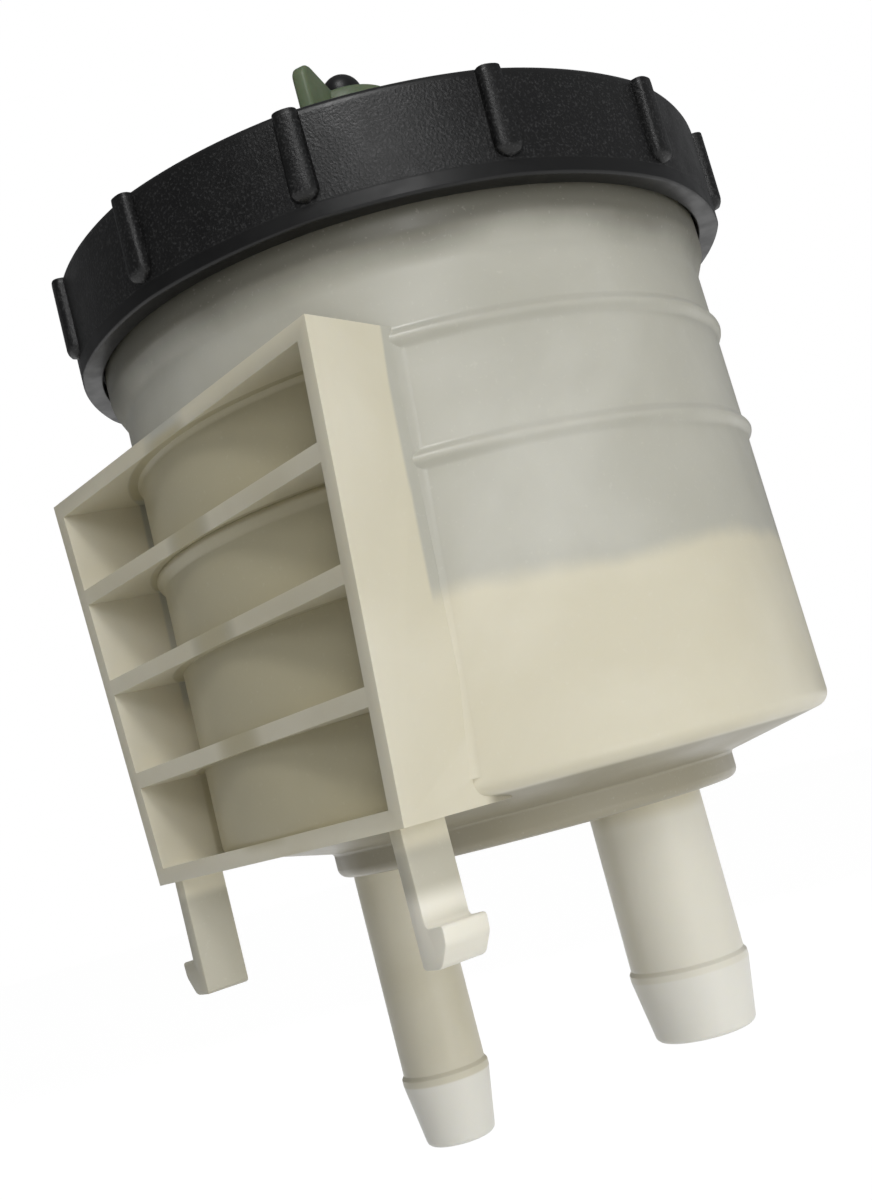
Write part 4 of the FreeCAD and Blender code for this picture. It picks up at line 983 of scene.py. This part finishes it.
stubs = [stub("suction", SUCTION_PLACE, 9.2, SUCTION_END, root=2.0),
         stub("return", RETURN_PLACE, 6.7, RETURN_END, root=1.0)]
bores = [bore("suction_bore", SUCTION_PLACE, 7.0, SUCTION_END),
         bore("return_bore", RETURN_PLACE, 4.8, RETURN_END)]
print("stubs:", ", ".join(item.name for item in stubs))

# %% [markdown]
# ## The thread
# The union ring screws on a ridge that winds round the neck. The ridge's section is a small trapezium
# that follows the helix and grows out of the wall at both ends, so that it starts as a real thread does.

# %% A thread ridge
PITCH = 4.0
THREAD_START = 84.6
RIDGE_FOOT = 1.1
RIDGE_CREST = 0.65
RIDGE_SUNK = 0.5
RUN_OUT = 12
STEPS_A_TURN = 90


def thread(name, root, reach, start_angle, turns, look):
    """A helical ridge from a root radius outwards, or inwards for a negative reach."""
    steps = int(turns * STEPS_A_TURN)
    sections = []
    for step in range(steps + 1):
        part = step / steps
        grow = min(1.0, part * turns * RUN_OUT, (1 - part) * turns * RUN_OUT)
        angle = math.radians(start_angle) + math.tau * turns * part
        middle = THREAD_START + PITCH * turns * part
        crest = root + reach * max(grow, 0.05)
        sink = root - math.copysign(RIDGE_SUNK, reach)
        section = ((sink, -RIDGE_FOOT), (root, -RIDGE_FOOT), (crest, -RIDGE_CREST),
                   (crest, RIDGE_CREST), (root, RIDGE_FOOT), (sink, RIDGE_FOOT))
        sections.append([Vector((far * math.cos(angle), far * math.sin(angle), middle + lift))
                         for far, lift in section])
    return swept(name, sections, look)


neck_thread = thread("neck_thread", NECK_RADIUS, 1.8, start_angle=0, turns=1.3, look="natural_plastic")
print("thread:", len(neck_thread.data.polygons), "faces")

# %% [markdown]
# ## Join the tank
# The real tank is one moulding, so its parts are united into one mesh. Only then is the room inside cut
# out, because that also trims what the bracket, stubs and hooks have inside the wall.

# %% Join the tank
combine(tank, [bracket, *fillets, *hooks, *stubs, neck_thread], "UNION")
inner_room = turned("inner_room", [
    (0, SUMP_FLOOR), (SUMP_RADIUS, SUMP_FLOOR, 0.5), (SUMP_RADIUS, FLOOR, 0.3),
    (BOSS_RADIUS, FLOOR), (LOW_RADIUS - TANK_WALL, CORNER_HEIGHT + FLOOR, 2.2), (NECK_INSIDE, COLLAR_LOW),
    (NECK_INSIDE, RIM + 1), (0, RIM + 1),
])
combine(tank, [inner_room, *bores], "DIFFERENCE")
finish_piece(tank, "tank_body", "tank")

# %% [markdown]
# ## The union ring
# The ring is a turned band with an inward lip. Between its grip ribs the band is a little flatter than
# a true circle, so each field takes the light as one plane and changes tone at the rib. The ribs are
# rounded bars, a little wider at their lower end. One is made, and the node tree copies it.

# %% The ring's band
RING_BORE = 50.6
RING_RADIUS = 54.0
RING_LOW = 81.6
LIP_LOW = 95.1
LIP_RADIUS = 42.0
RING_TOP = 97.7
RIB_COUNT = 12
RIB_TURN = 9.8
FLATTER = 0.3
BAND_FROM = RING_RADIUS - 1.3

ring = turned("union_ring_band", [
    (RING_BORE, RING_LOW, 0.3), (RING_RADIUS, RING_LOW, 0.5), (RING_RADIUS, RING_TOP, 1.2),
    (LIP_RADIUS, RING_TOP, 0.8), (LIP_RADIUS, LIP_LOW, 0.4), (RING_BORE, LIP_LOW, 0.5),
], look="black_plastic")
field = math.tau / RIB_COUNT
for vertex in ring.data.vertices:
    radius_now = math.hypot(vertex.co.x, vertex.co.y)
    if radius_now < BAND_FROM:
        continue
    offset = (math.atan2(vertex.co.y, vertex.co.x) - math.radians(RIB_TURN)) % field / field * 2 - 1
    smaller = 1 - FLATTER * (1 - offset ** 2) / radius_now
    vertex.co.x *= smaller
    vertex.co.y *= smaller
print("ring turned:", len(ring.data.vertices), "points")

# %% The ring's grip ribs
RIB_LOW = RING_LOW + 2.6
RIB_FOOT = 1.9
RIB_HEAD = 0.7
RIB_HALF = 2.1
RIB_TAPER = 0.30
RIB_PROUD = 1.6
RIB_SUNK = RING_RADIUS - 1.6
RIB_FACE = RING_RADIUS - 0.1
RIB_SQUARE = 0.75
RIB_STEPS = 24
RIB_ARC = 10


def rounded_end(distance, reach):
    """How full a rib is at a distance from its end, which is rounded over a reach."""
    return math.sqrt(max(0.0, 1 - (1 - min(1.0, distance / reach)) ** 2))


def grip_rib():
    """One grip rib on the band's outside, along X, with rounded sides and ends."""
    sections = []
    for step in range(RIB_STEPS + 1):
        part = step / RIB_STEPS
        level = RIB_LOW + (RING_TOP - RIB_LOW) * part
        full = max(0.06, rounded_end(level - RIB_LOW, RIB_FOOT) * rounded_end(RING_TOP - level, RIB_HEAD))
        half = (RIB_HALF - RIB_TAPER * part) * full
        section = [(RIB_SUNK, half, level)]
        for turn_step in range(RIB_ARC + 1):
            angle = math.pi * (0.5 - turn_step / RIB_ARC)
            proud = RIB_PROUD * full * max(0.0, math.cos(angle)) ** RIB_SQUARE
            aside = half * math.copysign(abs(math.sin(angle)) ** RIB_SQUARE, angle)
            section.append((RIB_FACE + proud, aside, level))
        section.append((RIB_SUNK, -half, level))
        sections.append(section)
    return swept("union_ring_ribs", sections, "black_plastic")


ribs = copy_around(grip_rib(), RIB_COUNT, RIB_TURN)
ring_thread = thread("ring_thread", RING_BORE, -2.0, start_angle=180, turns=1.5, look="black_plastic")
combine(ring, [ribs, ring_thread], "UNION")
finish_piece(ring, "ring_body", "union_ring", 35)

# %% [markdown]
# ## The cover
# The cover lies under the ring's lip. Its raised middle carries the filler neck, and eight thin ribs
# stiffen it. The neck has two bayonet lugs, which the cap's own lugs pass and catch.

# %% The cover
CROWN_RADIUS = 40.5
CROWN_TOP = 98.3
FLANGE_LOW = 92.7
FLANGE_TOP = 94.9
SPIGOT = 45.4
SPIGOT_LOW = 88.7
COVER_WALL = 2.2
FILLER_RADIUS = 14.6
FILLER_BORE = 11.6
FILLER_TOP = 109.4
COVER_RIBS = 8
COVER_RIB_HALF = 1.1
CAP_TURN = -62.0
LUG_HALF_ANGLE = 25
LUG_HEIGHT = 2.0
LUG_STEPS = 12

crown_inside = CROWN_RADIUS - COVER_WALL
crown_under = CROWN_TOP - COVER_WALL
spigot_inside = SPIGOT - COVER_WALL
flange = NECK_RADIUS - 0.2
cover = turned("cover_moulding", [
    (FILLER_BORE, FILLER_TOP, 0.5), (FILLER_BORE, crown_under, 0.4),
    (crown_inside, crown_under, 0.6), (crown_inside, FLANGE_LOW, 0.3),
    (spigot_inside, FLANGE_LOW, 0.3), (spigot_inside, SPIGOT_LOW, 0.4), (SPIGOT, SPIGOT_LOW, 0.4),
    (SPIGOT, FLANGE_LOW, 0.2), (flange, FLANGE_LOW, 0.3), (flange, FLANGE_TOP, 0.3),
    (CROWN_RADIUS, FLANGE_TOP, 0.5), (CROWN_RADIUS, CROWN_TOP, 1.2),
    (FILLER_RADIUS, CROWN_TOP, 1.5), (FILLER_RADIUS, FILLER_TOP, 0.5),
], look="green_plastic")

rib_near = FILLER_RADIUS - 1
rib_far = CROWN_RADIUS - 2.4
cover_rib = pushed("cover_rib", [
    (rib_near, CROWN_TOP - 1), (rib_far, CROWN_TOP - 1), (rib_far, CROWN_TOP + 0.6),
    (rib_near, CROWN_TOP + 2.8),
], -COVER_RIB_HALF, COVER_RIB_HALF, "green_plastic")
soften(cover_rib, 0.4)
copy_around(cover_rib, COVER_RIBS, 0)


def lug(name, inner, outer, low):
    """One bayonet lug, a slice of a ring, about the X axis."""
    top = low + LUG_HEIGHT
    sections = []
    for step in range(LUG_STEPS + 1):
        angle = math.radians(LUG_HALF_ANGLE * (2 * step / LUG_STEPS - 1))
        sections.append([(far * math.cos(angle), far * math.sin(angle), level) for far, level in
                         ((inner, low), (outer, low), (outer, top), (inner, top))])
    return soften(swept(name, sections, "green_plastic"), 0.25, 2, 40)


neck_lug = lug("neck_lugs", FILLER_RADIUS - 0.8, FILLER_RADIUS + 1.4, FILLER_TOP - 2.2)
neck_lugs = copy_around(neck_lug, 2, CAP_TURN)
combine(cover, [cover_rib, neck_lugs], "UNION")
finish_piece(cover, "cover_body", "cover")

# %% [markdown]
# ## The filler cap
# The cap is a turned skirt with a hollow-curved shoulder and a hub. Its two wings are flat fins with a
# rounded outer corner, whose top edge runs down towards the hub. The black button on the hub is a dome.

# %% The cap
CAP_UNDER = 109.6
CAP_RADIUS = 18.6
CAP_INSIDE = 16.8
CAP_TOP = 113.0
SKIRT_LOW = 101.6
HUB_RADIUS = 8.6
HUB_TOP = 121.8
PLUG = 11.2
PLUG_INSIDE = 7.9
PLUG_LOW = 103.6
GROOVE = 9.8
GROOVE_LOW = 105.7
GROOVE_TOP = 107.5
VENT_BORE = 2.0
VENT_DEPTH = 5.0
WING_ROOT = 5.0
WING_TIP = 124.4
WING_REACH = 17.4
WING_HALF = 1.3

cap = turned("wing_cap_moulding", [
    (0, HUB_TOP - VENT_DEPTH), (0, CAP_UNDER), (PLUG_INSIDE, CAP_UNDER), (PLUG_INSIDE, PLUG_LOW, 0.4),
    (PLUG, PLUG_LOW, 0.6), (PLUG, GROOVE_LOW), (GROOVE, GROOVE_LOW), (GROOVE, GROOVE_TOP),
    (PLUG, GROOVE_TOP), (PLUG, CAP_UNDER),
    (CAP_INSIDE, CAP_UNDER, 0.5), (CAP_INSIDE, SKIRT_LOW, 0.4), (CAP_RADIUS, SKIRT_LOW, 0.6),
    (CAP_RADIUS, CAP_TOP, 1.5), (HUB_RADIUS + 1.2, CAP_TOP, 4.0), (HUB_RADIUS, HUB_TOP, 1.0),
    (VENT_BORE, HUB_TOP, 0.2), (VENT_BORE, HUB_TOP - VENT_DEPTH),
], steps=120, look="green_plastic")
wing_points = rounded([
    (WING_ROOT, CAP_TOP - 1), (WING_REACH, CAP_TOP - 1), (WING_REACH, WING_TIP, 2.6),
    (WING_ROOT, HUB_TOP - 0.3),
], 8)
wing = pushed("wings", wing_points, -WING_HALF, WING_HALF, "green_plastic")
soften(wing, 0.7, 3, 50)
copy_around(wing, 2, CAP_TURN)
cap_lug = lug("cap_lugs", CAP_INSIDE - 1.4, CAP_INSIDE + 0.8, FILLER_TOP - 4.5)
cap_lugs = copy_around(cap_lug, 2, CAP_TURN)
combine(cap, [wing, cap_lugs], "UNION")
finish_piece(cap, "cap_body", "wing_cap", 40)

# %% The vent button
VENT_RADIUS = 3.6
STEM = 1.95
STEM_END = HUB_TOP - 4.8
DOME_STEP = 9

dome = []
for degrees in range(0, 90, DOME_STEP):
    angle = math.radians(degrees)
    dome.append((VENT_RADIUS * math.cos(angle), VENT_TOP - VENT_RADIUS + VENT_RADIUS * math.sin(angle)))
button = turned("vent_button_dome", [
    (0, STEM_END), (STEM, STEM_END, 0.3), (STEM, HUB_TOP), (VENT_RADIUS, HUB_TOP, 0.4), *dome, (0, VENT_TOP),
], steps=72, look="black_plastic")
finish_piece(button, "cap_body", "vent_button")

# %% [markdown]
# ## Inside the tank
# The filter, its springs and the strainer are out of sight. The springs are coils of round wire from
# the node tree, each set between a low and a high point. The pleats are one fold, copied round the
# filter's own axis.

# %% The springs
COIL_STEPS = 48


def spring(name, radius_mid, wire_radius, turns, low, high):
    """A coil spring on the filter's axis, with its lowest and highest point at low and high."""
    item = new_piece(name, bmesh.new(), "spring_steel")
    run_tree(item, coil, {"Radius": radius_mid, "Wire": wire_radius, "Turns": turns,
                          "Height": high - low - 2 * wire_radius, "Steps": COIL_STEPS,
                          "Finish": looks["spring_steel"]})
    item.data.transform(Matrix.Translation((*RETURN_PLACE, low + wire_radius)))
    item.data.shade_smooth()
    to_frame(item.data)
    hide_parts(name.removesuffix("_coil"))
    return item


long_spring = spring("hold_down_spring_coil", radius_mid=10.05, wire_radius=0.75, turns=8.5,
                     low=31.04, high=95.1)
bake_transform(long_spring)
short_spring = spring("bypass_spring_coil", radius_mid=3.6, wire_radius=0.35, turns=4.5,
                      low=32.49, high=39.10)
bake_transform(short_spring)
print("springs:", long_spring.name, short_spring.name)

# %% The filter's pleats
PLEATS = 28
PLEAT_LOW = 9.42
PLEAT_TOP = 29.42
SHEET_HALF = 0.3
VALLEY = (9.1, 9.7)
CREST = (16.1, 17.7)

aside = math.pi / PLEATS
valley = [(far * math.cos(aside), far * math.sin(aside)) for far in VALLEY]
fold = [
    *[(x, -y) for x, y in valley], (CREST[1], -SHEET_HALF), (CREST[1], SHEET_HALF),
    *reversed(valley), (CREST[0], 0.0),
]
pleats = between("filter_pleats_folds", [(x, y, PLEAT_LOW) for x, y in fold],
                 [(x, y, PLEAT_TOP) for x, y in fold], "filter_paper")
copy_around(pleats, PLEATS, 0)
pleats.data.transform(Matrix.Translation((*RETURN_PLACE, 0)))
finish_piece(pleats, "tank_body", "filter_pleats")

# %% [markdown]
# ## The pieces kept from the model
# Seals, dipstick, cup, filter plates, valve and strainer have the right shape in the model already, so
# they stay as they are and only get a finish, by the slot that the record names for each.

# %% Give the rest of the model its finishes
kept = []
for row in frame["record"]["subparts"]:
    node = nodes[row["node"]]
    node.data.materials.clear()
    node.data.materials.append(looks[row["material_slot"]])
    if not node.hide_render:
        kept.append(row["node"])
print("kept from the model:", ", ".join(kept))
